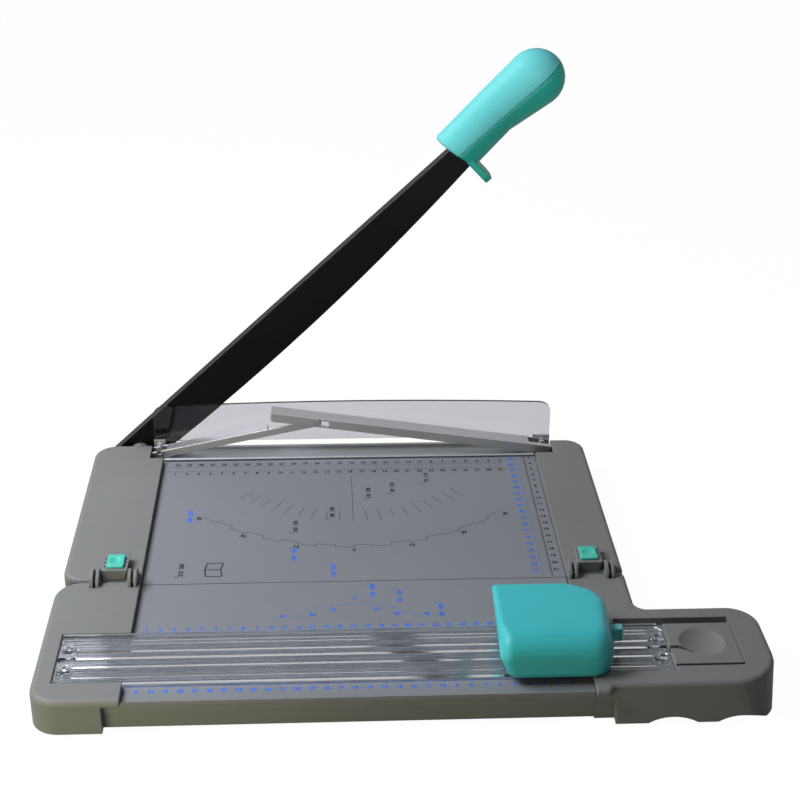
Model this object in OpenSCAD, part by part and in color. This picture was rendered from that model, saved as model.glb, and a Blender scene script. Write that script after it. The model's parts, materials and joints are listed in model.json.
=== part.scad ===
// Guillotine and rotary paper trimmer with a folding front half.
// Millimetres, +Z up, the front edge towards -Y, resting on its feet at Z = 0.
// Modules are drawn with X = 0 at the left fence and Y = 0 at the cutting plane,
// then moved to the part frame.

/* [Board] */
// Width of the board between the two fences
board_w = 325; // [315:1:335]
// Height of the board's top face above the table
board_h = 24; // [23.5:0.5:26]
// Thickness of the board plates
board_t = 3; // [2:0.5:3.5]
// Depth of the guillotine half, from the cutting plane to the seam
rear_depth = 222; // [210:1:240]
// Depth of the rotary half, from the seam to the front edge
front_depth = 149; // [147:0.5:153]

/* [Casings] */
// Height of the fences above the board
fence_h = 5; // [4.5:0.25:5.5]
// Width of the left rear casing
left_w = 60; // [56:1:70]
// How far the front half stands out past the rear half at the left
left_step = 2.5; // [0:0.5:4]
// Width of the right rear casing
right_w = 44; // [43:0.5:50]
// Length of the parking wing past the right rear casing
wing_w = 87.5; // [80:0.5:95]
// Wall thickness of the moulded shells
wall = 2.5; // [2:0.25:3]
// Radius of the casings' upper edges
edge_r = 4; // [2:0.5:4.5]
// Set-back of the casings' rear wall from the cutting plane
rear_gap = 5; // [4.5:0.5:6]
// Height of the feet below the casings
foot_h = 2; // [1.5:0.5:3]
// Radius of the rubber feet
foot_r = 7; // [5:0.5:9]

/* [Fold hinge and latches] */
// Radius of the hinge ears
ear_r = 9.8; // [9:0.2:10.4]
// Thickness of the hinge ears
ear_t = 2.4; // [2:0.2:2.8]
// Radius of the hinge pins
hinge_pin_r = 2; // [1.5:0.25:2.5]
// Distance from the latch's middle to the inner ears
ear_in = 11.9; // [11.8:0.1:12.2]
// Distance from the latch's middle to the outer ears
ear_out = 16.3; // [15.9:0.1:16.6]
// Width of the latch's housing
house_w = 19.4; // [18:0.2:19.6]
// Height of the latch's housing above the casing
house_h = 7.2; // [6:0.2:8]
// Travel of the latch's bolt
latch_travel = 3; // [2.4:0.2:3]

/* [Guillotine bed, guard and clamp] */
// Height of the bed's lip and knife above the board
bed_rise = 0.5; // [0.25:0.25:1]
// Depth of the clamp's trough below the board
trough_d = 1.8; // [1.5:0.1:2.5]
// Thickness of the clear finger guard
guard_t = 2.7; // [2:0.1:2.7]
// Height of the guard's crown above the board
guard_h = 43.8; // [40:0.2:50]
// Height of the paper gap below the guard
paper_gap = 7; // [5:0.5:9]
// Sheet thickness of the clamp's channels
clamp_t = 1.2; // [0.8:0.1:1.4]
// Depth of the right clamp channel
clamp_d = 14.4; // [12:0.2:14.4]
// Height of the right clamp channel
clamp_h = 8; // [7.5:0.25:8.5]
// Rest angle of the left clamp channel
clamp_angle = 11.9; // [8:0.1:12]
// Radius of the pin that links the two channels
link_r = 1.7; // [1.4:0.1:1.9]

/* [Arm] */
// Rest angle of the raised arm
arm_angle = 43.25; // [20:0.25:50]
// Length of the knife from its pivot
knife_len = 391; // [388:1:396]
// Thickness of the knife
knife_t = 3; // [2.5:0.25:3.5]
// Height of the arm's back above its pivot
spine_h = 16.2; // [15:0.2:17]
// Depth of the knife's belly below its pivot
belly_d = 17.6; // [16:0.2:18]
// Radius of the curved cutting edge
belly_r = 2400; // [2200:20:2800]
// Thickness of the bar behind the knife
bar_t = 8.7; // [7:0.1:9]
// Radius of the pivot bolt
bolt_r = 4; // [3:0.25:4.5]
// Radius of the handle's bulb
bulb_r = 24; // [22:0.2:25]
// Half depth of the handle, front to back
handle_half = 16; // [14:0.5:16]

/* [Rail and carriage] */
// Width of the clear rail
rail_w = 56; // [54:0.5:57]
// Length of the clear rail
rail_len = 431; // [425:1:431]
// Thickness of the rail's base
rail_t = 2.2; // [1.8:0.1:2.4]
// How far the sprung rail can be pressed down
rail_travel = 1; // [0.6:0.1:1.1]
// Length of the carriage along the rail
carriage_len = 80; // [78:1:84]
// Depth of the carriage across the rail
carriage_d = 77; // [74:0.5:79]
// Height of the carriage's top above the board
carriage_h = 34; // [32:0.5:36]
// Where the carriage's left end stands on the rail at rest
carriage_x = 260; // [20:5:290]
// Radius of the rotary blade
blade_r = 14; // [13:0.25:14]
// Travel of the release knob
knob_travel = 4; // [2:0.5:4]

/* [Hidden] */
$fn = 48;
fit = 0.05;
gap = 0.3;
bite = 1;
slice = 0.01;
case_h = board_h + fence_h;
left_x = -left_w;
front_left_x = -left_w - left_step;
right_x = board_w + right_w;
wing_x = right_x + wing_w;
seam_y = -rear_depth;
front_y = seam_y - front_depth;
rear_y = -rear_gap;
seam_gap = 0.4;
shelf_h = board_h - board_t;
plate_t = 2.5;
plate_h = foot_h + plate_t;

// Handle, in the arm's own frame: along the arm, then up from the pivot line
handle_y = 6.5;
root_u = knife_len - 5;
root_v = 10.9;
root_r = 20.3;
root_half = 13;
root_tilt = 12;
waist_u = root_u + 45;
waist_v = 14;
waist_r = 19.8;
bulb_u = root_u + 88;
bulb_v = 12;
split_v = 8.6;
split_gap = 0.15;
handle_u1 = root_u - 12;
handle_u2 = bulb_u + bulb_r + 1;
handle_reach = 50;

// Part frame: middle of the whole outline, on the table
x_mid = (front_left_x + wing_x) / 2;
y_mid = (front_y + handle_y + handle_half) / 2;

// Casing plan radii
rear_left_r = 18;
seam_left_r = 16;
rear_right_r = 16;
front_left_r = 20;
small_r = edge_r + 1;
wing_rear_r = 22;
wing_end_r = 35;
wing_foot_r = 22;
wing_lean = 6;
wing_tuck = 3;
wing_z = foot_h - 1.6;
main_x2 = board_w + 12;
wing_rear_y = seam_y - 50;
neck_r = 9;

// Fold hinge and latches
hinge_y = seam_y - 0.5;
hinge_z = case_h - 1.2;
ear_gap = 0.45;
latch_left_x = -19.6;
latch_right_x = board_w + ear_out + ear_t / 2 + ear_gap;
house_front_y = seam_y + 1.5;
house_taper = 4.2;
house_len = 26;
house_z = case_h + house_h;
button_w = 13.2;
button_len = 17.4;
button_t = 1.8;
button_y = seam_y + 13.2;
button_r = 1.2;
thumb_r = 4.8;
thumb_d = 1.2;
notch_r = 0.8;
notch_step = 5;
stem_w = 5;
stem_len = 10;
bolt_w = 8;
bolt_z = board_h - 10.2;
bolt_t = 3.4;
bolt_gap = 1.2;
pocket_gap = 1.5;

// Guillotine bed
strip_front_y = -24.5;
trough_front_y = -21.7;
board_rear_y = -28.3;
bed_z = board_h + bed_rise;
trough_z = board_h - trough_d;
knife_seat = -3;
web_y = -8;
notch_left_w = 11.5;
notch_right_w = 16;
notch_front_y = -30;
notch_z = board_h - 5.5;
bed_screw_xs = [0.1, 0.3, 0.5, 0.7, 0.9];
bed_screw_z = board_h - 10;
bed_screw_r = 1.6;
bed_head_r = 3.2;
bed_head_y = -1.7;
bed_head_t = 1.5;
bed_screw_len = 7;

// Paper clamp
pivot_l_x = -4.5;
pivot_r_x = board_w + 8;
pivot_z = board_h + 4;
flat_gap = 0.4;
top_r = trough_z + flat_gap + clamp_h - pivot_z;
top_l = top_r - clamp_t - 0.5;
low_v = trough_z + flat_gap - pivot_z;
link_v = -1.5;
clamp_span = pivot_r_x - pivot_l_x;
link_s = 141.6;
link_x = pivot_l_x + link_s * cos(clamp_angle) - link_v * sin(clamp_angle);
link_z = pivot_z + link_s * sin(clamp_angle) + link_v * cos(clamp_angle);
link_dx = pivot_r_x - link_x;
link_dz = link_z - pivot_z;
link_reach = sqrt(link_dx * link_dx + link_dz * link_dz - link_v * link_v);
clamp_right_angle = atan2(link_dz, link_dx) - atan2(link_v, link_reach);
slot_gap = 0.6;
slot_far = link_reach + 0.8;
slot_near = clamp_span - link_s - 3;
clamp_y1 = -20.2;
clamp_y2 = clamp_y1 + clamp_d;
inner_y1 = clamp_y1 + clamp_t + 0.5;
inner_y2 = clamp_y2 - clamp_t - 0.5;
right_len = 241.8;
left_top_len = 97;
clamp_end = 7;
guard_y2 = -0.3;
guard_y1 = guard_y2 - guard_t;
bracket_y1 = guard_y1 - 2.2;
guard_low = board_h + paper_gap;
guard_crown = board_h + guard_h;
guard_r = 4377;
guard_corner = 9;
guard_left = -10;
guard_right = board_w + 15.4;
clamp_screw_r = 2;
clamp_head_r = 3;
coil_w = 0.35;

// Arm
arm_pivot_x = -23;
arm_pivot_z = board_h - 5;
knife_y1 = 0.3;
knife_y2 = knife_y1 + knife_t;
bar_y2 = knife_y2 + bar_t;
tail_len = 22;
tail_v = 4;
belly_u = 140;
hub_r = 13.4;
tang_end = root_u + 80;
first_screw_u = 30;
blade_screw_us = [for (i = [0:4]) first_screw_u + i * (knife_len - first_screw_u - 41) / 4];
blade_screw_v = 10;
blade_screw_r = 1.9;
blade_head_r = 3.4;
blade_head_t = 2;
screw_seat = 0.5;
handle_screw_us = [root_u + 18, root_u + 66];
handle_screw_y = (knife_y2 + bar_y2) / 2;
handle_screw_v = -3;
handle_screw_r = 1.6;
handle_screw_len = 23;
handle_head_r = 3.2;
handle_head_t = 2;
tab_u1 = root_u + 2;
tab_u2 = root_u + 7.5;
tab_v = -25.5;
tab_y1 = -4;
tab_y2 = 17;
tab_r = 6;
tab_top = root_v - 10;
bracket_t = 3;
bracket_x1 = arm_pivot_x - 18;
bracket_x2 = arm_pivot_x + 9;
plate_y1 = rear_y - wall - bracket_t;

// Rotary side
rail_to_seam = 98.5;
rail_y = seam_y - rail_to_seam;
recess_gap = 1;
recess_y1 = rail_y - rail_w / 2 - recess_gap;
recess_y2 = rail_y + rail_w / 2 + recess_gap;
recess_left = 48.6;
recess_right = 108.6;
recess_x1 = -recess_left;
recess_x2 = board_w + recess_right;
rail_x1 = recess_x1 + 0.6;
rail_x2 = rail_x1 + rail_len;
rail_z1 = board_h + 1.3;
rail_z2 = rail_z1 + rail_t;
rib_z = rail_z2 + 0.8;
track_z = rail_z2 + 3;
track_off = 9;
track_w = 3;
edge_rib_w = 2;
rail_rib_w = 1.2;
rib_off = 13.5;
rib_step = 4;
slot_w = 3;
groove_d = 0.8;
rail_slot_x1 = -36;
rail_slot_w = 4.8;
rail_peg_xs = [-42, rail_x2 - 6];
rail_peg_dy = 12;
peg_r = 2;
peg_tip_r = 1.5;
peg_head_r = 3.4;
peg_head_t = 1.2;
boss_top = rail_z2 + 1.2;
rail_boss_r = 5;
rail_end = 13;
ledge_front_y = front_y + 5.5;
ledge_x2 = board_w;
block_left_x = -12.5;
block_right_x = board_w + 14;
pad_x1 = rail_x2 + 1.6;
pad_y1 = rail_y - 21.6;
pad_gap = 2.4;
pad_y2 = rail_y + 27;
dish_x = pad_x1 + 24;
dish_y = rail_y + 4.5;
dish_r = 16.5;
dish_d = 4.6;
pad_slot_len = 7;
pad_slot_w = 3.6;
pad_slot_y = rail_y - 1.6;
pad_groove_len = 12;
pad_groove_turn = -21;
skirt_z = case_h + rail_travel + 0.4;
carriage_top = board_h + carriage_h;
carriage_x2 = carriage_x + carriage_len;
carriage_y2 = rail_y + 41;
carriage_y1 = carriage_y2 - carriage_d;
cover_t = 2;
shoe_z1 = track_z + gap;
shoe_z2 = shoe_z1 + 4;
blade_x = carriage_x + 40;
blade_z = board_h + rail_travel + 0.2 + blade_r;
blade_t = 0.6;
axle_r = 2.5;
holder_half = 18;
holder_wall = 3;
holder_d = 5.5;
holder_z = shoe_z2 + 13;
knob_y = rail_y + 1.2;
knob_z = board_h + 16.4;
knob_w = 7;
knob_h = 11;
knob_len = 9;
post_r = 3;

// Frames
module in_frame() {
    translate([-x_mid, -y_mid, 0]) children();
}

module in_arm() {
    in_frame() translate([arm_pivot_x, 0, arm_pivot_z]) rotate([0, -arm_angle, 0]) children();
}

module in_left_clamp() {
    in_frame() translate([pivot_l_x, 0, pivot_z]) rotate([0, -clamp_angle, 0]) children();
}

module in_right_clamp() {
    in_frame() translate([pivot_r_x, 0, pivot_z]) rotate([0, clamp_right_angle, 0])
        mirror([1, 0, 0]) children();
}

// Basic forms
module box(x1, x2, y1, y2, z1, z2) {
    translate([x1, y1, z1]) cube([x2 - x1, y2 - y1, z2 - z1]);
}

module rod_x(y, z, x1, x2, r) {
    translate([x1, y, z]) rotate([0, 90, 0]) cylinder(r = r, h = x2 - x1);
}

module rod_y(x, z, y1, y2, r) {
    translate([x, y1, z]) rotate([-90, 0, 0]) cylinder(r = r, h = y2 - y1);
}

module rod_z(x, y, z1, z2, r) {
    translate([x, y, z1]) cylinder(r = r, h = z2 - z1);
}

// Block with rounded plan corners [x, y, radius], a rounded upper edge and the given outline at its foot
module leaning_slab(foot, corners, z1, z2, e, sides = 32, rise = 22.5) {
    hull() {
        for (c = foot)
            translate([c[0], c[1], z1]) cylinder(r = c[2], h = slice, $fn = sides);
        for (a = [0:rise:90], c = corners)
            translate([c[0], c[1], z2 - e + e * sin(a) - slice])
                cylinder(r = c[2] - e + e * cos(a), h = slice, $fn = sides);
    }
}

module soft_slab(corners, z1, z2, e) {
    leaning_slab(corners, corners, z1, z2, e);
}

// Straight-sided block with rounded plan corners
module plan_block(corners, inset, z1, z2) {
    hull()
        for (c = corners)
            translate([c[0], c[1], z1]) cylinder(r = c[2] - inset, h = z2 - z1, $fn = 32);
}

// Helical spring about Z: one six-sided tube of centre radius r, wire radius w
function coil_ring(r, w, pitch, k) = [for (j = [0:5])
    [(r + w * cos(60 * j)) * cos(45 * k), (r + w * cos(60 * j)) * sin(45 * k),
        pitch * k / 8 + w * sin(60 * j)]];

function coil_gap(r, w, pitch, n) = min([for (k = [0:n - 8], a = coil_ring(r, w, pitch, k),
    b = coil_ring(r, w, pitch, k + 8)) norm(a - b)]);

module coil(r, w, pitch, turns) {
    n = turns * 8;
    points = [for (k = [0:n]) each coil_ring(r, w, pitch, k)];
    ends = concat([for (j = [1:4]) [0, j + 1, j]], [for (j = [1:4]) [n * 6, n * 6 + j, n * 6 + j + 1]]);
    sides = [for (k = [0:n - 1], j = [0:5]) each
        [[k * 6 + j, k * 6 + (j + 1) % 6, k * 6 + 6 + (j + 1) % 6],
            [k * 6 + j, k * 6 + 6 + (j + 1) % 6, k * 6 + 6 + j]]];
    echo(least_coil_gap = coil_gap(r, w, pitch, n));
    polyhedron(points = points, faces = concat(ends, sides));
}

// Screw along +Z with its head's underside at Z = 0
module screw(shank_r, shank_len, head_r, head_t) {
    difference() {
        union() {
            translate([0, 0, -head_t]) cylinder(r = head_r, h = head_t);
            cylinder(r = shank_r, h = shank_len);
        }
        translate([0, 0, -head_t - bite]) cylinder(r = head_r * 0.45, h = head_t * 0.5 + bite, $fn = 6);
    }
}

// Hinge ears and the slots they turn in
module ear(x) {
    rod_x(hinge_y, hinge_z, x - ear_t / 2, x + ear_t / 2, ear_r);
}

module ears(middle, offset) {
    for (side = [-1, 1]) ear(middle + side * offset);
}

// Rod on the hinge line on both sides of a latch, from one distance to another
module hinge_rods(middle, near, far, r) {
    rod_x(hinge_y, hinge_z, middle - far, middle - near, r);
    rod_x(hinge_y, hinge_z, middle + near, middle + far, r);
}

module hinge_bore(middle) {
    hinge_rods(middle, house_w / 2 + gap, ear_out + ear_t, hinge_pin_r + fit);
}

// Slots in the rear casings, between the latch's housing and the outer ears
module rear_ear_room(middle) {
    hinge_rods(middle, ear_in - ear_t / 2 - ear_gap, ear_out - ear_t / 2, ear_r + ear_gap);
}

// Slots in the front shell for the outer ears
module front_ear_room(middle) {
    hinge_rods(middle, ear_in, ear_out + ear_t / 2 + ear_gap, ear_r + ear_gap);
}

// Latch housing on the rear casings, with its stem slot, flank notches and bolt opening
module latch_house(middle) {
    low = case_h - wall - edge_r;
    half = house_w / 2;
    translate([middle, house_front_y + house_len, 0]) rotate([90, 0, 0]) linear_extrude(house_len)
        polygon([[-half, house_z], [half, house_z], [half - house_taper, low], [house_taper - half, low]]);
}

module latch_cuts(middle) {
    slot_half = stem_w / 2 + gap;
    slot_y1 = button_y - stem_len / 2 - latch_travel - gap;
    slot_y2 = button_y + stem_len / 2 + gap;
    bolt_half = bolt_w / 2 + bolt_gap;
    box(middle - slot_half, middle + slot_half, slot_y1, slot_y2, 0, house_z + bite);
    box(middle - bolt_half, middle + bolt_half, seam_y - bite, seam_y + 2 * wall, bolt_z - bolt_gap,
        bolt_z + bolt_t + bolt_gap);
    for (side = [-1, 1], k = [-1:1])
        rod_z(middle + side * (button_w / 2 + notch_r + 0.5), button_y + k * notch_step,
            house_z - 1.5 * notch_r, house_z + bite, notch_r);
}

module latch(middle) {
    half_w = button_w / 2 - button_r;
    half_l = button_len / 2 - button_r;
    z1 = house_z + 0.2;
    z2 = z1 + button_t;
    ball = (thumb_r * thumb_r + thumb_d * thumb_d) / 2 / thumb_d;
    corners = [for (i = [-1, 1], j = [-1, 1]) [middle + i * half_w, button_y + j * half_l, button_r]];
    difference() {
        leaning_slab(corners, corners, z1, z2, button_r / 2, 8, 45);
        translate([middle, button_y, z2 - thumb_d + ball]) sphere(r = ball);
    }
    box(middle - stem_w / 2, middle + stem_w / 2, button_y - stem_len / 2, button_y + stem_len / 2,
        bolt_z + bolt_t - slice, z1 + slice);
    box(middle - bolt_w / 2, middle + bolt_w / 2, seam_y + seam_gap + gap, button_y + stem_len / 2,
        bolt_z, bolt_z + bolt_t);
}

// Rear casings
left_corners = [
    [left_x + rear_left_r, rear_y - rear_left_r, rear_left_r],
    [left_x + seam_left_r, seam_y + seam_gap + seam_left_r, seam_left_r],
    [left_w / 2, rear_y - rear_left_r, rear_left_r],
    [left_w / 2, seam_y + seam_gap + seam_left_r, seam_left_r]];
right_corners = [
    [right_x - rear_right_r, rear_y - rear_right_r, rear_right_r],
    [right_x - small_r, seam_y + seam_gap + small_r, small_r],
    [board_w - right_w, rear_y - rear_right_r, rear_right_r],
    [board_w - right_w, seam_y + seam_gap + small_r, small_r]];
left_screws = [[-48, -60], [-48, -180], [-12, -110]];
right_screws = [[board_w + 34, -50], [board_w + 34, -180], [board_w + 12, -110]];
boss_r = 4;
case_screw_r = 1.5;
case_head_r = 3.1;
case_head_t = 1.2;
case_screw_len = 12;
counterbore = case_head_t + 0.1;

module case_block(corners, x1, x2, inner_x1, inner_x2) {
    difference() {
        intersection() {
            soft_slab(corners, foot_h, case_h, edge_r);
            box(x1, x2, seam_y - bite, 0, 0, case_h + bite);
        }
        intersection() {
            plan_block(corners, wall, 0, case_h - wall);
            union() {
                box(inner_x1, inner_x2, seam_y, 0, 0, case_h);
                box(x1 - bite, x2 + bite, seam_y, 0, 0, plate_h + slice);
            }
        }
    }
}

module casing_bosses(spots) {
    for (s = spots) rod_z(s[0], s[1], plate_h, case_h - wall + slice, boss_r);
}

module casing_bores(spots) {
    for (s = spots) rod_z(s[0], s[1], 0, foot_h + case_screw_len + 1.5, case_screw_r + fit);
}

module left_casing() {
    color("dimgray") in_frame() difference() {
        union() {
            case_block(left_corners, left_x - bite, 0, left_x, -wall);
            casing_bosses(left_screws);
            latch_house(latch_left_x);
            ears(latch_left_x, ear_out);
        }
        box(-notch_left_w, bite, notch_front_y, 0, notch_z, case_h + bite);
        box(-notch_left_w, bite, web_y - gap, 0, 0, case_h + bite);
        rear_ear_room(latch_left_x);
        hinge_bore(latch_left_x);
        latch_cuts(latch_left_x);
        casing_bores(left_screws);
        rod_y(arm_pivot_x, arm_pivot_z, rear_y - wall - bite, bite, bolt_r + fit);
    }
}

module right_casing() {
    color("dimgray") in_frame() difference() {
        union() {
            case_block(right_corners, board_w, right_x + bite, board_w + wall, right_x);
            casing_bosses(right_screws);
            latch_house(latch_right_x);
            ears(latch_right_x, ear_out);
        }
        box(board_w - bite, board_w + notch_right_w, notch_front_y, 0, notch_z, case_h + bite);
        box(board_w - bite, board_w + notch_right_w, web_y - gap, 0, 0, case_h + bite);
        rear_ear_room(latch_right_x);
        hinge_bore(latch_right_x);
        latch_cuts(latch_right_x);
        casing_bores(right_screws);
    }
}

// Rear tray: floor, front wall and ribs below the board
pan_corners = [
    [left_x + rear_left_r, rear_y - rear_left_r, rear_left_r],
    [left_x + seam_left_r, seam_y + seam_gap + seam_left_r, seam_left_r],
    [right_x - rear_right_r, rear_y - rear_right_r, rear_right_r],
    [right_x - small_r, seam_y + seam_gap + small_r, small_r]];
rear_foot_spots = [[-40, -30], [-40, -200], [board_w + 28, -30], [board_w + 28, -200]];
front_foot_spots = [
    [-42, front_y + 31],
    [board_w / 2, front_y + 25],
    [wing_x - 36, front_y + 50],
    [-40, seam_y - 22],
    [board_w + 24, seam_y - 22]];
pan_rib_xs = [0.04, 0.27, 0.5, 0.73, 0.96];
rib_t = 3;

module rear_pan() {
    color("dimgray") in_frame() difference() {
        union() {
            plan_block(pan_corners, wall + 0.1, foot_h, plate_h);
            box(0.2, board_w - 0.2, seam_y + seam_gap, seam_y + seam_gap + wall, foot_h, shelf_h);
            for (f = pan_rib_xs)
                box(f * board_w - rib_t / 2, f * board_w + rib_t / 2, seam_y + wall, board_rear_y - 1,
                    foot_h + bite, shelf_h);
        }
        for (s = concat(left_screws, right_screws)) {
            rod_z(s[0], s[1], 0, plate_h + bite, case_screw_r + fit);
            rod_z(s[0], s[1], 0, foot_h + counterbore, case_head_r + 0.1);
        }
        for (s = rear_foot_spots) rod_z(s[0], s[1], 0, foot_h + 1.2, foot_r + fit);
    }
}

module feet(spots) {
    for (s = spots) {
        rod_z(s[0], s[1], 0.6, foot_h + 1.2, foot_r);
        rod_z(s[0], s[1], 0, 0.6 + slice, foot_r - 1);
    }
}

module rear_feet() {
    color("black") in_frame() feet(rear_foot_spots);
}

module rear_screws() {
    color("silver") in_frame()
        for (s = concat(left_screws, right_screws))
            translate([s[0], s[1], foot_h + counterbore])
                screw(case_screw_r, case_screw_len, case_head_r, case_head_t);
}

module rear_board() {
    color("slategray") in_frame()
        box(gap, board_w - gap, seam_y + seam_gap, board_rear_y, shelf_h, board_h);
}

// Bed: lip, trough and web in one drawn section, with the fixed knife behind it
module bed_strip() {
    section = [[strip_front_y, shelf_h - 2], [strip_front_y, bed_z - 0.8], [strip_front_y + 0.8, bed_z],
        [trough_front_y - 0.6, bed_z], [trough_front_y, trough_z], [knife_seat, trough_z],
        [knife_seat, plate_h], [web_y, plate_h], [web_y, shelf_h - 2]];
    color("silver") in_frame() difference() {
        union() {
            translate([gap, 0, 0]) rotate([90, 0, 90]) linear_extrude(board_w - 2 * gap) polygon(section);
            box(guard_left, guard_right, web_y, bracket_y1, plate_h, notch_z - 1.5);
        }
        for (f = bed_screw_xs)
            rod_y(f * board_w, bed_screw_z, web_y - bite, knife_seat + bite, bed_screw_r + fit);
    }
}

module bed_knife() {
    color("gainsboro") in_frame() difference() {
        box(gap + 0.4, board_w - gap - 0.4, knife_seat, 0, board_h - 15, bed_z);
        for (f = bed_screw_xs) {
            rod_y(f * board_w, bed_screw_z, knife_seat - bite, bite, bed_screw_r + fit);
            rod_y(f * board_w, bed_screw_z, bed_head_y, bite, bed_head_r + fit);
        }
    }
}

module bed_screws() {
    color("silver") in_frame()
        for (f = bed_screw_xs)
            translate([f * board_w, bed_head_y, bed_screw_z]) rotate([90, 0, 0])
                screw(bed_screw_r, bed_screw_len, bed_head_r, bed_head_t);
}

// Clear finger guard: arched plate with two end tabs
module guard_outline() {
    middle = (guard_left + guard_right) / 2;
    intersection() {
        box(guard_left, guard_right, guard_y1, guard_y2, guard_low, guard_crown + bite);
        rod_y(middle, guard_crown - guard_r, guard_y1 - bite, guard_y2 + bite, guard_r, $fn = 1440);
    }
    for (x = [[guard_left, gap - 1], [board_w + 1 - gap, guard_right]])
        box(x[0], x[1], guard_y1, guard_y2, plate_h + 4, guard_low + bite);
}

module guard_corner_cut(x, side) {
    z = guard_crown - (guard_right - guard_left) * (guard_right - guard_left) / 8 / guard_r - guard_corner;
    difference() {
        translate([x + (side > 0 ? 0 : -guard_corner), guard_y1 - bite, z])
            cube([guard_corner, guard_t + 2 * bite, guard_corner + 2 * bite]);
        rod_y(x + side * guard_corner, z, guard_y1 - 2 * bite, guard_y2 + 2 * bite, guard_corner);
    }
}

module finger_guard() {
    color("lightgray") in_frame() difference() {
        guard_outline();
        guard_corner_cut(guard_left, 1);
        guard_corner_cut(guard_right, -1);
        for (x = [pivot_l_x, pivot_r_x])
            rod_y(x, pivot_z, guard_y1 - bite, guard_y2 + bite, clamp_screw_r + fit);
    }
}

module guard_brackets() {
    color("silver") in_frame()
        for (x = [[guard_left, -gap, pivot_l_x], [board_w + gap, guard_right, pivot_r_x]])
            difference() {
                box(x[0], x[1], bracket_y1, guard_y1, plate_h + 2, pivot_z + 5);
                rod_y(x[2], pivot_z, bracket_y1 - bite, bite, clamp_screw_r + fit);
            }
}

// Shoulder screws of the clamp; the shoulder fills the space between channel and bracket
module clamp_pivots() {
    color("silver") in_frame()
        for (p = [[pivot_l_x, inner_y2], [pivot_r_x, clamp_y2]]) {
            translate([p[0], p[1] - clamp_t - 4, pivot_z]) rotate([-90, 0, 0])
                screw(clamp_screw_r, guard_y2 - 0.2 - p[1] + clamp_t + 4, clamp_head_r, 1.8);
            rod_y(p[0], pivot_z, p[1] + 0.15, bracket_y1, clamp_screw_r + 1.2);
        }
}

module clamp_springs() {
    color("silver") in_frame()
        for (p = [[pivot_l_x, inner_y2], [pivot_r_x, clamp_y2]])
            translate([p[0], p[1] - clamp_t - 3.5, pivot_z]) rotate([-90, 0, 0])
                coil(2.6, 0.25, 1.2, 2.375);
}

// Left channel: top, two flanges and a front tongue that runs on to the link pin
module clamp_left() {
    color("silver") in_left_clamp() difference() {
        union() {
            box(-clamp_end + 1, left_top_len, inner_y1, inner_y2, top_l - clamp_t, top_l);
            box(-clamp_end + 1, left_top_len, inner_y1, inner_y1 + clamp_t, low_v, top_l);
            box(-clamp_end + 1, left_top_len, inner_y2 - clamp_t, inner_y2, low_v, top_l);
            box(left_top_len - bite, link_s, inner_y1, inner_y1 + clamp_t, low_v, top_l);
            rod_y(link_s, (low_v + top_l) / 2, inner_y1, inner_y1 + clamp_t, (top_l - low_v) / 2);
        }
        rod_y(0, 0, inner_y1, inner_y2 + bite, clamp_screw_r + fit);
        rod_y(link_s, link_v, inner_y1 - bite, inner_y1 + clamp_t + bite, link_r + fit);
        box(-clamp_end - bite, 7, inner_y1 + clamp_t + 1.2, inner_y2 - clamp_t - 0.2,
            top_l - clamp_t - gap, top_l + bite);
    }
}

// Right channel: slides over the left one, with the slot for the link pin
module clamp_right() {
    color("silver") in_right_clamp() difference() {
        union() {
            box(-clamp_end, right_len, clamp_y1, clamp_y2, top_r - clamp_t, top_r);
            box(-clamp_end, right_len - 3, clamp_y1, clamp_y1 + clamp_t, low_v, top_r);
            box(-clamp_end, right_len, clamp_y1, clamp_y1 + clamp_t, low_v + 3, top_r);
            rod_y(right_len - 3, low_v + 3, clamp_y1, clamp_y1 + clamp_t, 3);
            box(-clamp_end, right_len, clamp_y2 - clamp_t, clamp_y2, low_v + 1, top_r);
        }
        rod_y(0, 0, clamp_y1 + clamp_t + bite, clamp_y2 + bite, clamp_screw_r + fit);
        box(slot_near, slot_far, clamp_y1 - bite, clamp_y1 + clamp_t + 0.2, link_v - link_r - slot_gap,
            link_v + link_r + slot_gap);
        for (s = [slot_near, slot_far])
            rod_y(s, link_v, clamp_y1 - bite, clamp_y1 + clamp_t + 0.2, link_r + slot_gap);
        box(-clamp_end - bite, 13, clamp_y1 + clamp_t + 3, clamp_y2 - clamp_t - 0.2,
            top_r - clamp_t - gap, top_r + bite);
    }
}

module clamp_link_pin() {
    color("gainsboro") in_left_clamp() {
        rod_y(link_s, link_v, clamp_y1 - 0.3, inner_y1 + clamp_t, link_r);
        rod_y(link_s, link_v, clamp_y1 - 1.1, clamp_y1 - 0.3 + slice, link_r + 0.9);
        rod_y(link_s, link_v, inner_y1 + clamp_t, inner_y1 + clamp_t + 0.8, link_r + 0.7);
    }
}

// Arm pivot
module pivot_bracket() {
    color("silver") in_frame() difference() {
        union() {
            box(bracket_x1, bracket_x2, plate_y1, rear_y - wall, plate_h, arm_pivot_z + 7.4);
            box(bracket_x1, bracket_x2, plate_y1 - 20, rear_y - wall, plate_h, plate_h + bracket_t);
        }
        rod_y(arm_pivot_x, arm_pivot_z, plate_y1 - bite, bite, bolt_r + fit);
    }
}

// Stack on the bolt behind the arm: washer, dished spring and nut
bolt_head_t = 5;
spacer_r = 9;
washer_y2 = bar_y2 + 1.3;
nut_y1 = bar_y2 + 3.5;
nut_t = 5.4;
bolt_end_y = bar_y2 + 9.8;

module pivot_bolt() {
    color("silver") in_frame() {
        rod_y(arm_pivot_x, arm_pivot_z, plate_y1 - slice, bolt_end_y, bolt_r);
        translate([arm_pivot_x, plate_y1 - bolt_head_t, arm_pivot_z]) rotate([-90, 0, 0])
            cylinder(r = bolt_r * 1.75, h = bolt_head_t, $fn = 6);
    }
}

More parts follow.
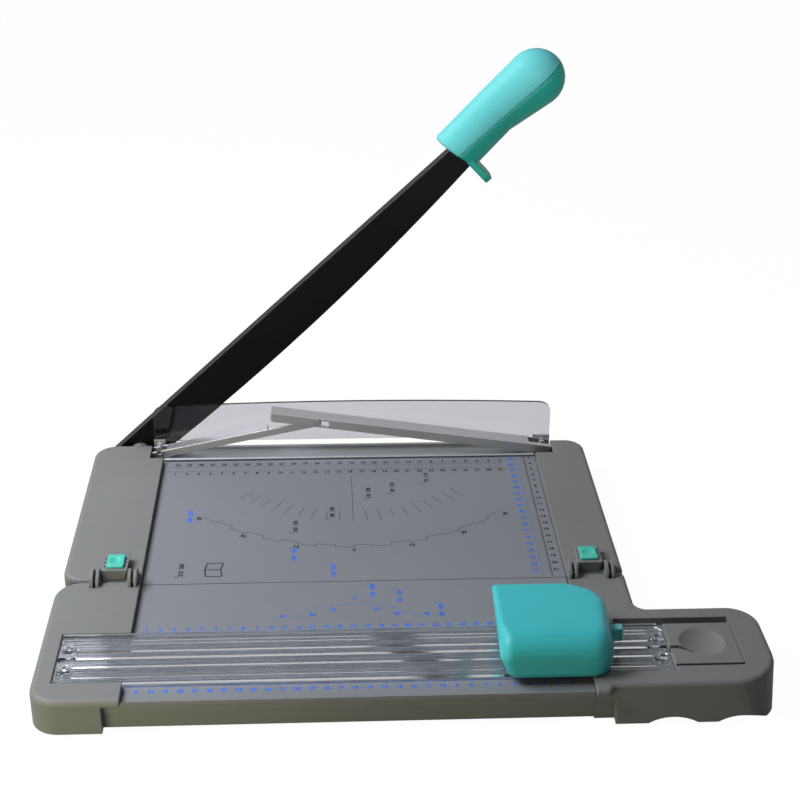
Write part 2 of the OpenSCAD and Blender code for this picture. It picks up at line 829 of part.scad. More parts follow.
module ring_y(y1, y2, r) {
    difference() {
        rod_y(arm_pivot_x, arm_pivot_z, y1, y2, r);
        rod_y(arm_pivot_x, arm_pivot_z, y1 - bite, y2 + bite, bolt_r + fit);
    }
}

module pivot_spacer() {
    color("silver") in_frame() ring_y(rear_y, knife_y1 - 0.1, spacer_r);
}

module pivot_washer() {
    color("silver") in_frame() ring_y(bar_y2 + 0.1, washer_y2, spacer_r);
}

module pivot_disc_spring() {
    dish = [[bolt_r + fit, 1.2], [bolt_r + fit, 2.2], [bolt_r + 4.5, 1], [bolt_r + 4.5, 0]];
    color("silver") in_frame() translate([arm_pivot_x, washer_y2, arm_pivot_z]) rotate([-90, 0, 0])
        rotate_extrude() polygon(dish);
}

module pivot_nut() {
    color("silver") in_frame() translate([arm_pivot_x, nut_y1, arm_pivot_z]) rotate([-90, 0, 0])
        difference() {
            cylinder(r = bolt_r * 1.8, h = nut_t, $fn = 6);
            translate([0, 0, -bite]) cylinder(r = bolt_r + fit, h = nut_t + 2 * bite);
        }
}

// Arm: knife, bar behind it and a two-part handle
module knife_outline(y1, y2) {
    intersection() {
        box(0, knife_len, y1, y2, -belly_d - bite, spine_h);
        rod_y(belly_u, belly_r - belly_d, y1 - bite, y2 + bite, belly_r, $fn = 1440);
    }
    rod_y(0, 0, y1, y2, hub_r);
    box(-tail_len + 3, bite, y1, y2, tail_v, spine_h);
    box(-tail_len, bite, y1, y2, tail_v, spine_h - 3);
    rod_y(-tail_len + 3, spine_h - 3, y1, y2, 3);
}

module knife_blade() {
    color("dimgray") in_arm() difference() {
        knife_outline(knife_y1, knife_y2);
        rod_y(0, 0, knife_y1 - bite, knife_y2 + bite, bolt_r + fit);
        for (u = blade_screw_us)
            rod_y(u, blade_screw_v, knife_y1 + screw_seat, knife_y2 + bite, blade_screw_r + fit);
    }
}

module arm_bar() {
    color("black") in_arm() difference() {
        union() {
            box(-tail_len + 3, tang_end, knife_y2, bar_y2, tail_v, spine_h);
            rod_y(0, 0, knife_y2, bar_y2, hub_r - 2);
        }
        rod_y(0, 0, knife_y2 - bite, bar_y2 + bite, bolt_r + fit);
        for (u = blade_screw_us)
            rod_y(u, blade_screw_v, knife_y2 - bite, bar_y2 + bite, blade_screw_r + fit);
        for (u = handle_screw_us)
            rod_z(u, handle_screw_y, 0, spine_h + bite, handle_screw_r + 2 * fit);
    }
}

module blade_screws() {
    color("silver") in_arm()
        for (u = blade_screw_us)
            translate([u, bar_y2, blade_screw_v]) rotate([90, 0, 0])
                screw(blade_screw_r, bar_y2 - knife_y1 - screw_seat - 0.1, blade_head_r, blade_head_t);
}

module handle_station(u, v, r, half, len, tilt) {
    translate([u, handle_y, v]) rotate([0, -tilt, 0]) scale([1, half / r, 1]) rotate([0, 90, 0])
        cylinder(r = r, h = len, $fn = 32);
}

module handle_form() {
    hull() {
        handle_station(root_u, root_v, root_r - 1.5, root_half - 1.5, slice, root_tilt);
        handle_station(root_u + 1.5, root_v, root_r, root_half, 1, root_tilt);
        handle_station(waist_u, waist_v, waist_r, root_half + 0.5, 1, 0);
    }
    hull() {
        handle_station(waist_u, waist_v, waist_r, root_half + 0.5, 1, 0);
        translate([bulb_u, handle_y, bulb_v]) scale([1, handle_half / bulb_r, 1])
            sphere(r = bulb_r, $fn = 32);
    }
}

module handle_cuts() {
    box(handle_u1, tang_end + gap, knife_y2 - gap, bar_y2 + gap, tail_v - gap, spine_h + gap);
    box(handle_u1, knife_len + gap, knife_y1 - gap, knife_y2 + gap, -belly_d, spine_h + gap);
    for (u = handle_screw_us) {
        rod_z(u, handle_screw_y, tab_v, handle_screw_v + handle_screw_len + bite, handle_screw_r + fit);
        rod_z(u, handle_screw_y, tab_v - bite, handle_screw_v, handle_head_r + gap);
    }
}

module handle_upper() {
    color("mediumturquoise") in_arm() difference() {
        intersection() {
            handle_form();
            box(handle_u1, handle_u2, -handle_reach, handle_reach, split_v + split_gap, handle_reach);
        }
        handle_cuts();
    }
}

module handle_lower() {
    color("darkcyan") in_arm() difference() {
        union() {
            intersection() {
                handle_form();
                box(handle_u1, handle_u2, -handle_reach, handle_reach, -handle_reach, split_v - split_gap);
            }
            box(tab_u1, tab_u2, tab_y1, tab_y2, tab_v + tab_r, tab_top);
            box(tab_u1, tab_u2, tab_y1 + tab_r, tab_y2 - tab_r, tab_v, tab_top);
            for (y = [tab_y1 + tab_r, tab_y2 - tab_r]) rod_x(y, tab_v + tab_r, tab_u1, tab_u2, tab_r);
        }
        handle_cuts();
    }
}

module handle_screws() {
    color("silver") in_arm()
        for (u = handle_screw_us)
            translate([u, handle_screw_y, handle_screw_v])
                screw(handle_screw_r, handle_screw_len, handle_head_r, handle_head_t);
}

module latch_left() {
    color("teal") in_frame() latch(latch_left_x);
}

module latch_right() {
    color("teal") in_frame() latch(latch_right_x);
}

module hinge_pins() {
    color("silver") in_frame()
        for (middle = [latch_left_x, latch_right_x])
            hinge_rods(middle, house_w / 2 + 2 * gap, ear_out + ear_t / 2, hinge_pin_r);
}

// Front half: three rounded blocks in one shell
front_rear_y = seam_y - seam_gap;
main_corners = [
    [front_left_x + front_left_r, front_rear_y - front_left_r, front_left_r],
    [front_left_x + front_left_r, front_y + front_left_r, front_left_r],
    [main_x2 - small_r, front_rear_y - small_r, small_r],
    [main_x2 - small_r, front_y + small_r, small_r]];
neck_corners = [
    [board_w - 20, front_rear_y - small_r, small_r],
    [board_w - 20, wing_rear_y - 20, small_r],
    [right_x - small_r, front_rear_y - small_r, small_r],
    [right_x - small_r, wing_rear_y - 20, small_r]];
wing_corners = [
    [board_w + small_r, wing_rear_y - small_r, small_r],
    [board_w + small_r, front_y + small_r + wing_lean, small_r],
    [wing_x - wing_rear_r, wing_rear_y - wing_rear_r, wing_rear_r],
    [wing_x - wing_end_r, front_y + wing_end_r + wing_lean, wing_end_r]];
wing_foot_corners = [
    [board_w + small_r, wing_rear_y - small_r, small_r],
    [board_w + small_r, front_y + small_r, small_r],
    [wing_x - wing_rear_r, wing_rear_y - wing_rear_r, wing_rear_r],
    [wing_x - wing_foot_r - wing_tuck, front_y + wing_foot_r, wing_foot_r]];
front_wall = 10;
front_screw_spots = [
    [-48, seam_y - 40],
    [-30, front_y + 22],
    [board_w / 2 - 60, front_y + 24],
    [board_w / 2 + 60, front_y + 24],
    [board_w + 32, front_y + 24],
    [wing_x - 30, wing_rear_y - 26],
    [board_w + 34, seam_y - 40]];

// Inside corner between neck and wing, stepped up to the rounded upper edge
function neck_arc(r) = [for (a = [0:15:90])
    [right_x + neck_r - r * cos(a), wing_rear_y + neck_r - r * sin(a)]];

module neck_fill() {
    inner = [[right_x + neck_r, wing_rear_y - edge_r], [right_x - edge_r, wing_rear_y - edge_r],
        [right_x - edge_r, wing_rear_y + neck_r]];
    for (a = [0:22.5:90])
        translate([0, 0, foot_h]) linear_extrude(case_h - edge_r + edge_r * sin(a) - foot_h)
            polygon(concat(neck_arc(neck_r + fit + edge_r * (1 - cos(a))), inner));
}

// Space below the shelf of the front shell, shrunk by inset
module front_cavity(inset, z1, z2) {
    intersection() {
        union() {
            plan_block(main_corners, wall + inset, z1, z2);
            plan_block(neck_corners, wall + inset, z1, z2);
            plan_block(wing_corners, wall + inset, z1, z2);
        }
        box(front_left_x, wing_x, front_y + front_wall + inset, seam_y, z1, z2);
    }
}

module finger_scallops() {
    for (x = [right_x + 10.3, right_x + 59.3]) rod_y(x, foot_h - 35.4, front_y - bite, front_y + 34, 38);
}

module front_form() {
    difference() {
        union() {
            difference() {
                union() {
                    soft_slab(main_corners, foot_h, case_h, edge_r);
                    soft_slab(neck_corners, foot_h, case_h, edge_r);
                    leaning_slab(wing_foot_corners, wing_corners, wing_z, case_h, edge_r);
                    neck_fill();
                }
                front_cavity(0, 0, shelf_h - wall);
                box(front_left_x + wall, -wall, recess_y2 + wall, front_rear_y - front_left_r / 2,
                    plate_h, case_h - wall);
                box(board_w + wall, right_x - wall, recess_y2 + 8 + wall, front_rear_y - wall, plate_h,
                    case_h - wall);
            }
            for (s = front_screw_spots) rod_z(s[0], s[1], plate_h, case_h - wall + slice, boss_r);
        }
        box(0, board_w, front_y - bite, seam_y + bite, shelf_h, case_h + bite);
        box(recess_x1, pad_x1 - 0.1, recess_y1, recess_y2, shelf_h, case_h + bite);
        box(pad_x1 - bite, recess_x2, pad_y1 - pad_gap, recess_y2, shelf_h, case_h + bite);
        box(right_x - 20, recess_x2, recess_y2 - bite, recess_y2 + 5.5, board_h - 1, case_h + bite);
        box(block_left_x, block_right_x, front_y - bite, ledge_front_y, 0, board_h);
        box(0, ledge_x2, front_y - bite, ledge_front_y, 0, case_h + bite);
        box(block_left_x, block_right_x, front_y - bite, ledge_front_y + 1.5, 0, board_h - 9);
        for (middle = [latch_left_x, latch_right_x]) {
            house_half = house_w / 2 + ear_gap;
            pocket_half = bolt_w / 2 + pocket_gap;
            front_ear_room(middle);
            ear_feet(middle, seam_y + bite);
            hinge_bore(middle);
            box(middle - house_half, middle + house_half, seam_y - 1.6, seam_y + bite,
                board_h - 3, case_h + bite);
            box(middle - pocket_half, middle + pocket_half, seam_y - 8, seam_y + bite, bolt_z - pocket_gap,
                bolt_z + bolt_t + pocket_gap);
        }
        for (s = front_screw_spots) rod_z(s[0], s[1], 0, foot_h + case_screw_len + 1.5, case_screw_r + fit);
        for (x = rail_peg_xs, side = [-1, 1])
            rod_z(x, rail_y + side * rail_peg_dy, shelf_h - wall - bite, shelf_h + bite, peg_tip_r + fit);
        finger_scallops();
    }
}

module front_shell() {
    color("dimgray") in_frame() intersection() {
        front_form();
        box(front_left_x - bite, board_w, front_y - bite, seam_y + bite, 0, case_h + bite);
    }
}

module wing_shell() {
    color("dimgray") in_frame() intersection() {
        front_form();
        box(board_w, wing_x + bite, front_y - bite, seam_y + bite, 0, case_h + bite);
    }
}

// Hinge ears of the front half; their square feet sit in pockets of the shell
module ear_feet(middle, y2) {
    for (side = [-1, 1]) {
        x = middle + side * ear_in;
        box(x - ear_t / 2, x + ear_t / 2, hinge_y - ear_r, y2, hinge_z - ear_r, case_h);
    }
}

module front_ears() {
    color("dimgray") in_frame()
        for (middle = [latch_left_x, latch_right_x])
            difference() {
                union() {
                    ears(middle, ear_in);
                    ear_feet(middle, hinge_y);
                }
                hinge_bore(middle);
            }
}

module front_plate() {
    color("dimgray") in_frame() difference() {
        front_cavity(0.1, foot_h, plate_h);
        for (s = front_screw_spots) {
            rod_z(s[0], s[1], 0, plate_h + bite, case_screw_r + fit);
            rod_z(s[0], s[1], 0, foot_h + counterbore, case_head_r + 0.1);
        }
        for (s = front_foot_spots) rod_z(s[0], s[1], 0, foot_h + 1.2, foot_r + fit);
        finger_scallops();
    }
}

module front_feet() {
    color("black") in_frame() feet(front_foot_spots);
}

module front_screws() {
    color("silver") in_frame()
        for (s = front_screw_spots)
            translate([s[0], s[1], foot_h + counterbore])
                screw(case_screw_r, case_screw_len, case_head_r, case_head_t);
}

module front_board() {
    color("slategray") in_frame()
        box(gap, board_w - gap, recess_y2, front_rear_y, shelf_h, board_h);
}

module ruler_ledge() {
    color("slategray") in_frame()
        box(gap, board_w - gap, ledge_front_y, recess_y1, shelf_h, board_h);
}

// Dark strip below the rail with a shallow groove for the blade
module cutting_mat() {
    color("darkslategray") in_frame() difference() {
        box(rail_x1, pad_x1 - gap, recess_y1 + 0.2, recess_y2 - 0.2, shelf_h, board_h);
        box(rail_slot_x1, pad_x1, rail_y - slot_w / 2, rail_y + slot_w / 2, board_h - groove_d,
            board_h + bite);
        for (x = rail_peg_xs, side = [-1, 1])
            rod_z(x, rail_y + side * rail_peg_dy, shelf_h - bite, board_h + bite, 5);
    }
}

module parking_pad() {
    ball = (dish_r * dish_r + dish_d * dish_d) / 2 / dish_d;
    color("dimgray") in_frame() difference() {
        box(pad_x1, recess_x2 - 0.4, pad_y1, pad_y2, shelf_h, case_h);
        translate([dish_x, dish_y, case_h - dish_d + ball]) sphere(r = ball);
        box(pad_x1 - bite, pad_x1 + pad_slot_len, pad_slot_y - pad_slot_w / 2, pad_slot_y + pad_slot_w / 2,
            board_h - groove_d, case_h + bite);
        translate([pad_x1 + pad_slot_len - pad_slot_w / 2, pad_slot_y, board_h + groove_d])
            rotate([0, 0, pad_groove_turn])
                translate([0, -pad_slot_w / 2, 0]) cube([pad_groove_len, pad_slot_w, case_h]);
    }
}

// Clear rail: two ribbed strips with a track each, the blade runs between them
module strip_box(side, x1, x2, near, far, z1, z2) {
    y1 = rail_y + side * near;
    y2 = rail_y + side * far;
    box(x1, x2, min(y1, y2), max(y1, y2), z1, z2);
}

module rail_strip(side) {
    half = rail_w / 2;
    track_x2 = rail_x2 - rail_end;
    difference() {
        union() {
            strip_box(side, rail_x1, rail_x2, rail_slot_w / 2, half, rail_z1, rail_z2);
            strip_box(side, rail_x1, rail_x2, half - edge_rib_w, half, rail_z1, case_h);
            strip_box(side, rail_slot_x1, track_x2, track_off - track_w / 2, track_off + track_w / 2,
                rail_z1, track_z);
            for (k = [0:2])
                strip_box(side, rail_x1 + rail_rib_w, track_x2, rib_off + rib_step * k - rail_rib_w / 2,
                    rib_off + rib_step * k + rail_rib_w / 2, rail_z1, rib_z);
            for (x = rail_peg_xs) rod_z(x, rail_y + side * rail_peg_dy, rail_z1, boss_top, rail_boss_r);
        }
        for (x = rail_peg_xs)
            rod_z(x, rail_y + side * rail_peg_dy, rail_z1 - bite, track_z + bite, peg_r + gap);
        translate([rail_x2, rail_y + half, rail_z1 - bite]) linear_extrude(3 * rail_t + bite)
            polygon([[bite, bite], [-4.5, bite], [-4.5, 0], [0, -6.5], [bite, -6.5]]);
    }
}

module rail_rear() {
    color("lightgray") in_frame() rail_strip(1);
}

module rail_front() {
    color("lightgray") in_frame() rail_strip(-1);
}

module rail_pegs() {
    color("gainsboro") in_frame()
        for (x = rail_peg_xs, side = [-1, 1]) {
            y = rail_y + side * rail_peg_dy;
            rod_z(x, y, shelf_h - wall, shelf_h + slice, peg_tip_r);
            rod_z(x, y, shelf_h, boss_top + gap, peg_r);
            rod_z(x, y, boss_top + 0.1, boss_top + 0.1 + peg_head_t, peg_head_r);
        }
}

module rail_springs() {
    turns = 2.5;
    rise = rail_z1 - shelf_h - 2 * coil_w;
    color("silver") in_frame()
        for (x = rail_peg_xs, side = [-1, 1])
            translate([x, rail_y + side * rail_peg_dy, shelf_h + coil_w])
                coil(peg_head_r, coil_w, rise / turns, turns);
}

// Carriage: soft cover over a shoe that straddles the tracks
knob_hole_d = 9;
knob_guide_off = 66;
// Corners of the cover: x, y, plan radius, upper edge radius, shift of the foot in x, front roll
sharp_r = 2.6;
sharp_e = 2.4;
tuck = 5;
small_tuck = 1;
front_roll = 8;
cover_corners = [
    [carriage_x + sharp_r, carriage_y2 - sharp_r, sharp_r, sharp_e, tuck, 0],
    [carriage_x + sharp_r, carriage_y1 + 26, sharp_r, sharp_e, tuck, 0],
    [carriage_x2 - 27, carriage_y2 - sharp_r, sharp_r, sharp_e, 0, 0],
    [carriage_x + 8, carriage_y1 + 8, 8, 7.5, tuck, front_roll],
    [carriage_x2 - 16, carriage_y1 + 16, 16, 10, -small_tuck, front_roll],
    [carriage_x2 - 26, carriage_y2 - 26, 26, 7, -small_tuck, 0]];

module carriage_hull(g, z1) {
    hull()
        for (c = cover_corners) {
            e = c[3] - g;
            r = c[2] - g;
            sharp = c[2] == sharp_r;
            sides = sharp ? 8 : 32;
            rise = sharp ? 90 : 18;
            translate([c[0] + c[4], c[1], z1]) cylinder(r = r, h = slice, $fn = sides);
            for (a = [0:rise:90])
                translate([c[0], c[1] + c[5] * (1 - cos(a)),
                    carriage_top - g - (e + c[5]) * (1 - sin(a)) - slice])
                    cylinder(r = r - e + e * cos(a), h = slice, $fn = sides);
        }
}

module carriage_cover() {
    color("teal") in_frame() difference() {
        carriage_hull(0, skirt_z);
        carriage_hull(cover_t, skirt_z - bite);
        for (side = [-1, 1]) {
            track_mid = rail_y + side * track_off;
            box(carriage_x - bite, carriage_x2 + bite, track_mid - track_w / 2 - 2 * gap,
                track_mid + track_w / 2 + 2 * gap, skirt_z - bite, track_z + gap);
        }
        box(carriage_x2 - knob_hole_d, carriage_x2 + bite, knob_y - knob_w / 2 - gap,
            knob_y + knob_w / 2 + gap, knob_z - knob_h / 2 - gap, knob_z + knob_h / 2 + gap);
    }
}

post_spots = [[15, 20], [15, 53], [55, 24], [55, 51]];

module carriage_shoe() {
    ceiling = carriage_top - cover_t;
    guide_x = carriage_x + knob_guide_off;
    color("dimgray") in_frame() difference() {
        union() {
            intersection() {
                carriage_hull(cover_t + gap, shoe_z1 - bite);
                box(carriage_x, carriage_x2, carriage_y1, carriage_y2, shoe_z1, shoe_z2);
            }
            for (side = [-1, 1]) {
                runner = rail_y + side * (track_off - track_w / 2 - 1.6);
                box(carriage_x + 8, carriage_x2 - 14, runner - 1.2, runner + 1.2, rail_z2 + 0.5,
                    shoe_z1 + slice);
            }
            for (s = post_spots)
                rod_z(carriage_x + s[0], carriage_y2 - s[1], shoe_z2 - slice, ceiling, post_r);
            box(guide_x, guide_x + 3, knob_y - 5, knob_y + 5, shoe_z2 - slice, knob_z + 5);
        }
        box(blade_x - blade_r - 2, blade_x + blade_r + 2, rail_y - slot_w / 2, rail_y + slot_w / 2,
            shoe_z1 - bite, shoe_z2 + bite);
        rod_x(knob_y, knob_z, guide_x - bite, guide_x + 4, axle_r + fit);
    }
}

module blade_holder() {
    color("darkslategray") in_frame() difference() {
        box(blade_x - holder_half, blade_x + holder_half, rail_y - holder_d, rail_y + holder_d, shoe_z2,
            holder_z);
        box(blade_x - holder_half + holder_wall, blade_x + holder_half - holder_wall, rail_y - 1.7,
            rail_y + 1.7, shoe_z2 - bite, holder_z + bite);
        rod_y(blade_x, blade_z, rail_y - holder_d - bite, rail_y + holder_d + bite, axle_r + fit);
    }
}

module blade_axle() {
    color("silver") in_frame() {
        rod_y(blade_x, blade_z, rail_y - holder_d - slice, rail_y + holder_d + 1, axle_r);
        rod_y(blade_x, blade_z, rail_y - holder_d - 1.5, rail_y - holder_d, axle_r + 1.8);
    }
}

module rotary_blade() {
    color("gainsboro") in_frame() difference() {
        union() {
            rod_y(blade_x, blade_z, rail_y - blade_t / 2, rail_y + blade_t / 2, blade_r - 1);
            translate([blade_x, rail_y, blade_z]) rotate([90, 0, 0]) rotate_extrude()
                polygon([[0, -blade_t / 2], [blade_r - 1.5, -blade_t / 2], [blade_r, -0.05],
                    [blade_r, 0.05], [blade_r - 1.5, blade_t / 2], [0, blade_t / 2]]);
            rod_y(blade_x, blade_z, rail_y - 1.5, rail_y + 1.5, 5);
        }
        rod_y(blade_x, blade_z, rail_y - 3, rail_y + 3, axle_r + fit);
    }
}

module release_knob() {
    x1 = carriage_x2 + 0.6;
    corner = 1;
    color("teal") in_frame() {
        translate([x1, knob_y, knob_z]) rotate([0, 90, 0])
            soft_slab([for (i = [-1, 1], j = [-1, 1])
                [i * (knob_h / 2 - corner), j * (knob_w / 2 - corner), corner]], 0, knob_len, 0.8);
        rod_x(knob_y, knob_z, blade_x + holder_half + knob_travel + 1, x1 + slice, axle_r);
    }
}

rear_pan();
left_casing();
right_casing();
rear_board();
bed_strip();
bed_knife();
bed_screws();
finger_guard();
guard_brackets();
clamp_pivots();
clamp_springs();
clamp_left();
clamp_link_pin();
clamp_right();
pivot_bracket();
pivot_bolt();
pivot_spacer();
pivot_washer();
pivot_disc_spring();
pivot_nut();
hinge_pins();
rear_feet();
rear_screws();
knife_blade();
arm_bar();
blade_screws();
handle_upper();
handle_lower();
handle_screws();
latch_left();
latch_right();
front_shell();
wing_shell();
front_ears();
front_plate();
front_board();
ruler_ledge();
cutting_mat();
parking_pad();
front_feet();
front_screws();
rail_rear();
rail_front();
rail_pegs();
rail_springs();
carriage_cover();
carriage_shoe();
blade_holder();
blade_axle();
rotary_blade();
release_knob();
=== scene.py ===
import json
import math

import bpy
from mathutils import Matrix, Vector


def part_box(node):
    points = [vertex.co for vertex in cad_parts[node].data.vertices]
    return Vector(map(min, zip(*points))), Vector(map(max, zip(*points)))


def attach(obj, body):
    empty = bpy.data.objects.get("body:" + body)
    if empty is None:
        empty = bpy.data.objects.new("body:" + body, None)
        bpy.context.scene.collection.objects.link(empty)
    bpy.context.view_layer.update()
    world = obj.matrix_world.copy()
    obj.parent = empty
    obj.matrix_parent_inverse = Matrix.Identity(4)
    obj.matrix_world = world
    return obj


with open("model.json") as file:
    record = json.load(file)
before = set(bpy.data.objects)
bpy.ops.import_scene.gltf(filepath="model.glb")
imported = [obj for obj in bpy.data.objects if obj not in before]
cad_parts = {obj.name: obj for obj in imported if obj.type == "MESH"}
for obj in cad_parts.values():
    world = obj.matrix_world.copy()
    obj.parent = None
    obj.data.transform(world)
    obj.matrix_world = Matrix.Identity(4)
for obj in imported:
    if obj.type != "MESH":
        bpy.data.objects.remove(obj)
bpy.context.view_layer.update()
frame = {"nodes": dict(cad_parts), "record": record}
nodes = frame["nodes"]
mm = 0.001
print("loaded", len(nodes), "pieces of the trimmer")

# the boards' own zero: left fence and guillotine cut
boardLow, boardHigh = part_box("rear_board")
zeroX = boardLow.x
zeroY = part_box("bed_knife")[1].y
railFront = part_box("rail_front")[0].y
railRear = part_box("rail_rear")[1].y
# edges and rotary cut in millimetres, measured from the guillotine's cut
rotaryLine = ((railFront + railRear) / 2 - zeroY) / mm
rearEdge = (boardHigh.y - zeroY) / mm
seamLine = (boardLow.y - zeroY) / mm


def onBoard(x, y, z=0.0):
    return Vector((zeroX + x * mm, zeroY + y * mm, z))


def srgb(r, g, b):  # colour written as 0-255, as read on screen
    def lin(c):
        c /= 255
        return c / 12.92 if c <= 0.04045 else ((c + 0.055) / 1.055) ** 2.4
    return (lin(r), lin(g), lin(b), 1.0)


# camera, matched to the view of the whole trimmer
cameraSet = {
    "place": (-0.0537085, -1.0452032, 0.677137),
    "yaw": 2.98856, "pitch": 26.54509, "roll": 0.588395,
    "lens": 69.714, "sensor": 36.0, "near": 0.01,
}


def addCamera(s):
    yaw, pitch, roll = (math.radians(s[k]) for k in ("yaw", "pitch", "roll"))
    ahead = Vector((math.sin(yaw) * math.cos(pitch), math.cos(yaw) * math.cos(pitch), -math.sin(pitch)))
    right = Vector((math.cos(yaw), -math.sin(yaw), 0))
    up = right.cross(ahead)
    sideways = right * math.cos(roll) + up * math.sin(roll)
    upright = up * math.cos(roll) - right * math.sin(roll)
    data = bpy.data.cameras.new("camera")
    data.lens = s["lens"]
    data.sensor_width = s["sensor"]
    data.clip_start = s["near"]
    cam = bpy.data.objects.new("camera", data)
    turn = Matrix((sideways, upright, -ahead)).transposed().to_4x4()
    cam.matrix_world = Matrix.Translation(s["place"]) @ turn
    bpy.context.scene.collection.objects.link(cam)
    bpy.context.scene.camera = cam


addCamera(cameraSet)
print("camera set")


# node tree helpers
def newTree(name):
    mat = bpy.data.materials.new(name)
    mat.use_nodes = True
    tree = mat.node_tree
    tree.nodes.clear()
    return mat, tree


def put(tree, kind, **values):
    node = tree.nodes.new(kind)
    for key, value in values.items():
        setattr(node, key, value)
    return node


def wire(tree, source, target):
    tree.links.new(source, target)


def feed(tree, value, socket):  # numbers and colours are set, outputs are wired
    if isinstance(value, (int, float, tuple)):
        socket.default_value = value
    else:
        wire(tree, value, socket)


def mathNode(tree, operation, a, b):
    node = put(tree, "ShaderNodeMath", operation=operation)
    feed(tree, a, node.inputs[0])
    feed(tree, b, node.inputs[1])
    return node.outputs[0]


def mixColour(tree, factor, a, b):
    node = put(tree, "ShaderNodeMix", data_type="RGBA")
    for socket, value in ((node.inputs[0], factor), (node.inputs[6], a), (node.inputs[7], b)):
        feed(tree, value, socket)
    return node.outputs[2]


def overlay(tree, mask, share, under, over):  # second colour where the mask shows
    return mixColour(tree, mathNode(tree, "MULTIPLY", mask, share), under, over)


def mixShaders(tree, factor, first, second):
    node = put(tree, "ShaderNodeMixShader")
    for socket, source in zip(node.inputs, (factor, first, second)):
        wire(tree, source, socket)
    return node.outputs[0]


def ramp(tree, source, low, high, toLow=0.0, toHigh=1.0):
    node = put(tree, "ShaderNodeMapRange")
    for socket, value in zip(node.inputs, (source, low, high, toLow, toHigh)):
        feed(tree, value, socket)
    return node.outputs[0]


def objectNoise(tree, scale, detail):  # noise that stays with its piece
    coord = put(tree, "ShaderNodeTexCoord")
    noise = put(tree, "ShaderNodeTexNoise")
    wire(tree, coord.outputs["Object"], noise.inputs["Vector"])
    wire(tree, scale, noise.inputs["Scale"])
    noise.inputs["Detail"].default_value = detail
    return noise


def newGroup(name, inputs, outputs):
    group = bpy.data.node_groups.new(name, "ShaderNodeTree")
    for label, value in inputs:
        socket = group.interface.new_socket(name=label, in_out="INPUT", socket_type="NodeSocketFloat")
        socket.default_value = value
    for label, kind in outputs:
        group.interface.new_socket(name=label, in_out="OUTPUT", socket_type=kind)
    return group, group.nodes.new("NodeGroupInput"), group.nodes.new("NodeGroupOutput")


def placeGroup(tree, group, **values):
    node = put(tree, "ShaderNodeGroup", node_tree=group)
    for label, value in values.items():
        node.inputs[label].default_value = value
    return node


# shared effects
def makeEdgeWear():  # rounded edge normal, and a mask where edges are painted lighter: partly rubbed wear, partly painted highlight
    group, gin, gout = newGroup("edgeWearAndHighlight", [("Radius", 0.001), ("Breakup", 120.0)],
                                [("Mask", "NodeSocketFloat"), ("Normal", "NodeSocketVector")])
    soft = put(group, "ShaderNodeBevel", samples=6)
    wire(group, gin.outputs["Radius"], soft.inputs["Radius"])
    geo = put(group, "ShaderNodeNewGeometry")
    dot = put(group, "ShaderNodeVectorMath", operation="DOT_PRODUCT")
    wire(group, soft.outputs[0], dot.inputs[0])
    wire(group, geo.outputs["Normal"], dot.inputs[1])
    edge = ramp(group, dot.outputs["Value"], 0.995, 0.86)
    noise = objectNoise(group, gin.outputs["Breakup"], 4.0)
    rough = ramp(group, noise.outputs["Fac"], 0.3, 0.7, 0.35, 1.0)
    wire(group, mathNode(group, "MULTIPLY", edge, rough), gout.inputs["Mask"])
    wire(group, soft.outputs[0], gout.inputs["Normal"])
    return group


def makeMouldGrain():  # spark-eroded mould texture of a plastic shell
    group, gin, gout = newGroup("mouldGrain", [("Scale", 1800.0)],
                                [("Height", "NodeSocketFloat"), ("Speckle", "NodeSocketFloat")])
    coarse = objectNoise(group, gin.outputs["Scale"], 3.0)
    coord = put(group, "ShaderNodeTexCoord")
    fine = put(group, "ShaderNodeTexVoronoi")
    wire(group, coord.outputs["Object"], fine.inputs["Vector"])
    wire(group, gin.outputs["Scale"], fine.inputs["Scale"])
    total = mathNode(group, "ADD", coarse.outputs["Fac"], fine.outputs["Distance"])
    wire(group, mathNode(group, "MULTIPLY", total, 0.6), gout.inputs["Height"])
    wire(group, ramp(group, coarse.outputs["Fac"], 0.35, 0.65), gout.inputs["Speckle"])
    return group


def makeToneDrift():  # slow change of tone over a large face
    group, gin, gout = newGroup("toneDrift", [("Scale", 9.0)], [("Value", "NodeSocketFloat")])
    noise = objectNoise(group, gin.outputs["Scale"], 5.0)
    noise.inputs["Roughness"].default_value = 0.55
    wire(group, ramp(group, noise.outputs["Fac"], 0.3, 0.7), gout.inputs["Value"])
    return group


def makeDrawnLines():  # lines along X left by drawing or grinding
    group, gin, gout = newGroup("drawnLines", [("Along", 6.0), ("Across", 2200.0)],
                                [("Height", "NodeSocketFloat"), ("Streak", "NodeSocketFloat")])
    coord = put(group, "ShaderNodeTexCoord")
    stretch = put(group, "ShaderNodeCombineXYZ")
    for socket, label in zip(stretch.inputs, ("Along", "Across", "Across")):
        wire(group, gin.outputs[label], socket)
    scaled = put(group, "ShaderNodeVectorMath", operation="MULTIPLY")
    wire(group, coord.outputs["Object"], scaled.inputs[0])
    wire(group, stretch.outputs[0], scaled.inputs[1])
    noise = put(group, "ShaderNodeTexNoise")
    noise.inputs["Scale"].default_value = 1.0
    noise.inputs["Detail"].default_value = 3.0
    wire(group, scaled.outputs[0], noise.inputs["Vector"])
    wire(group, noise.outputs["Fac"], gout.inputs["Height"])
    wire(group, ramp(group, noise.outputs["Fac"], 0.3, 0.7), gout.inputs["Streak"])
    return group


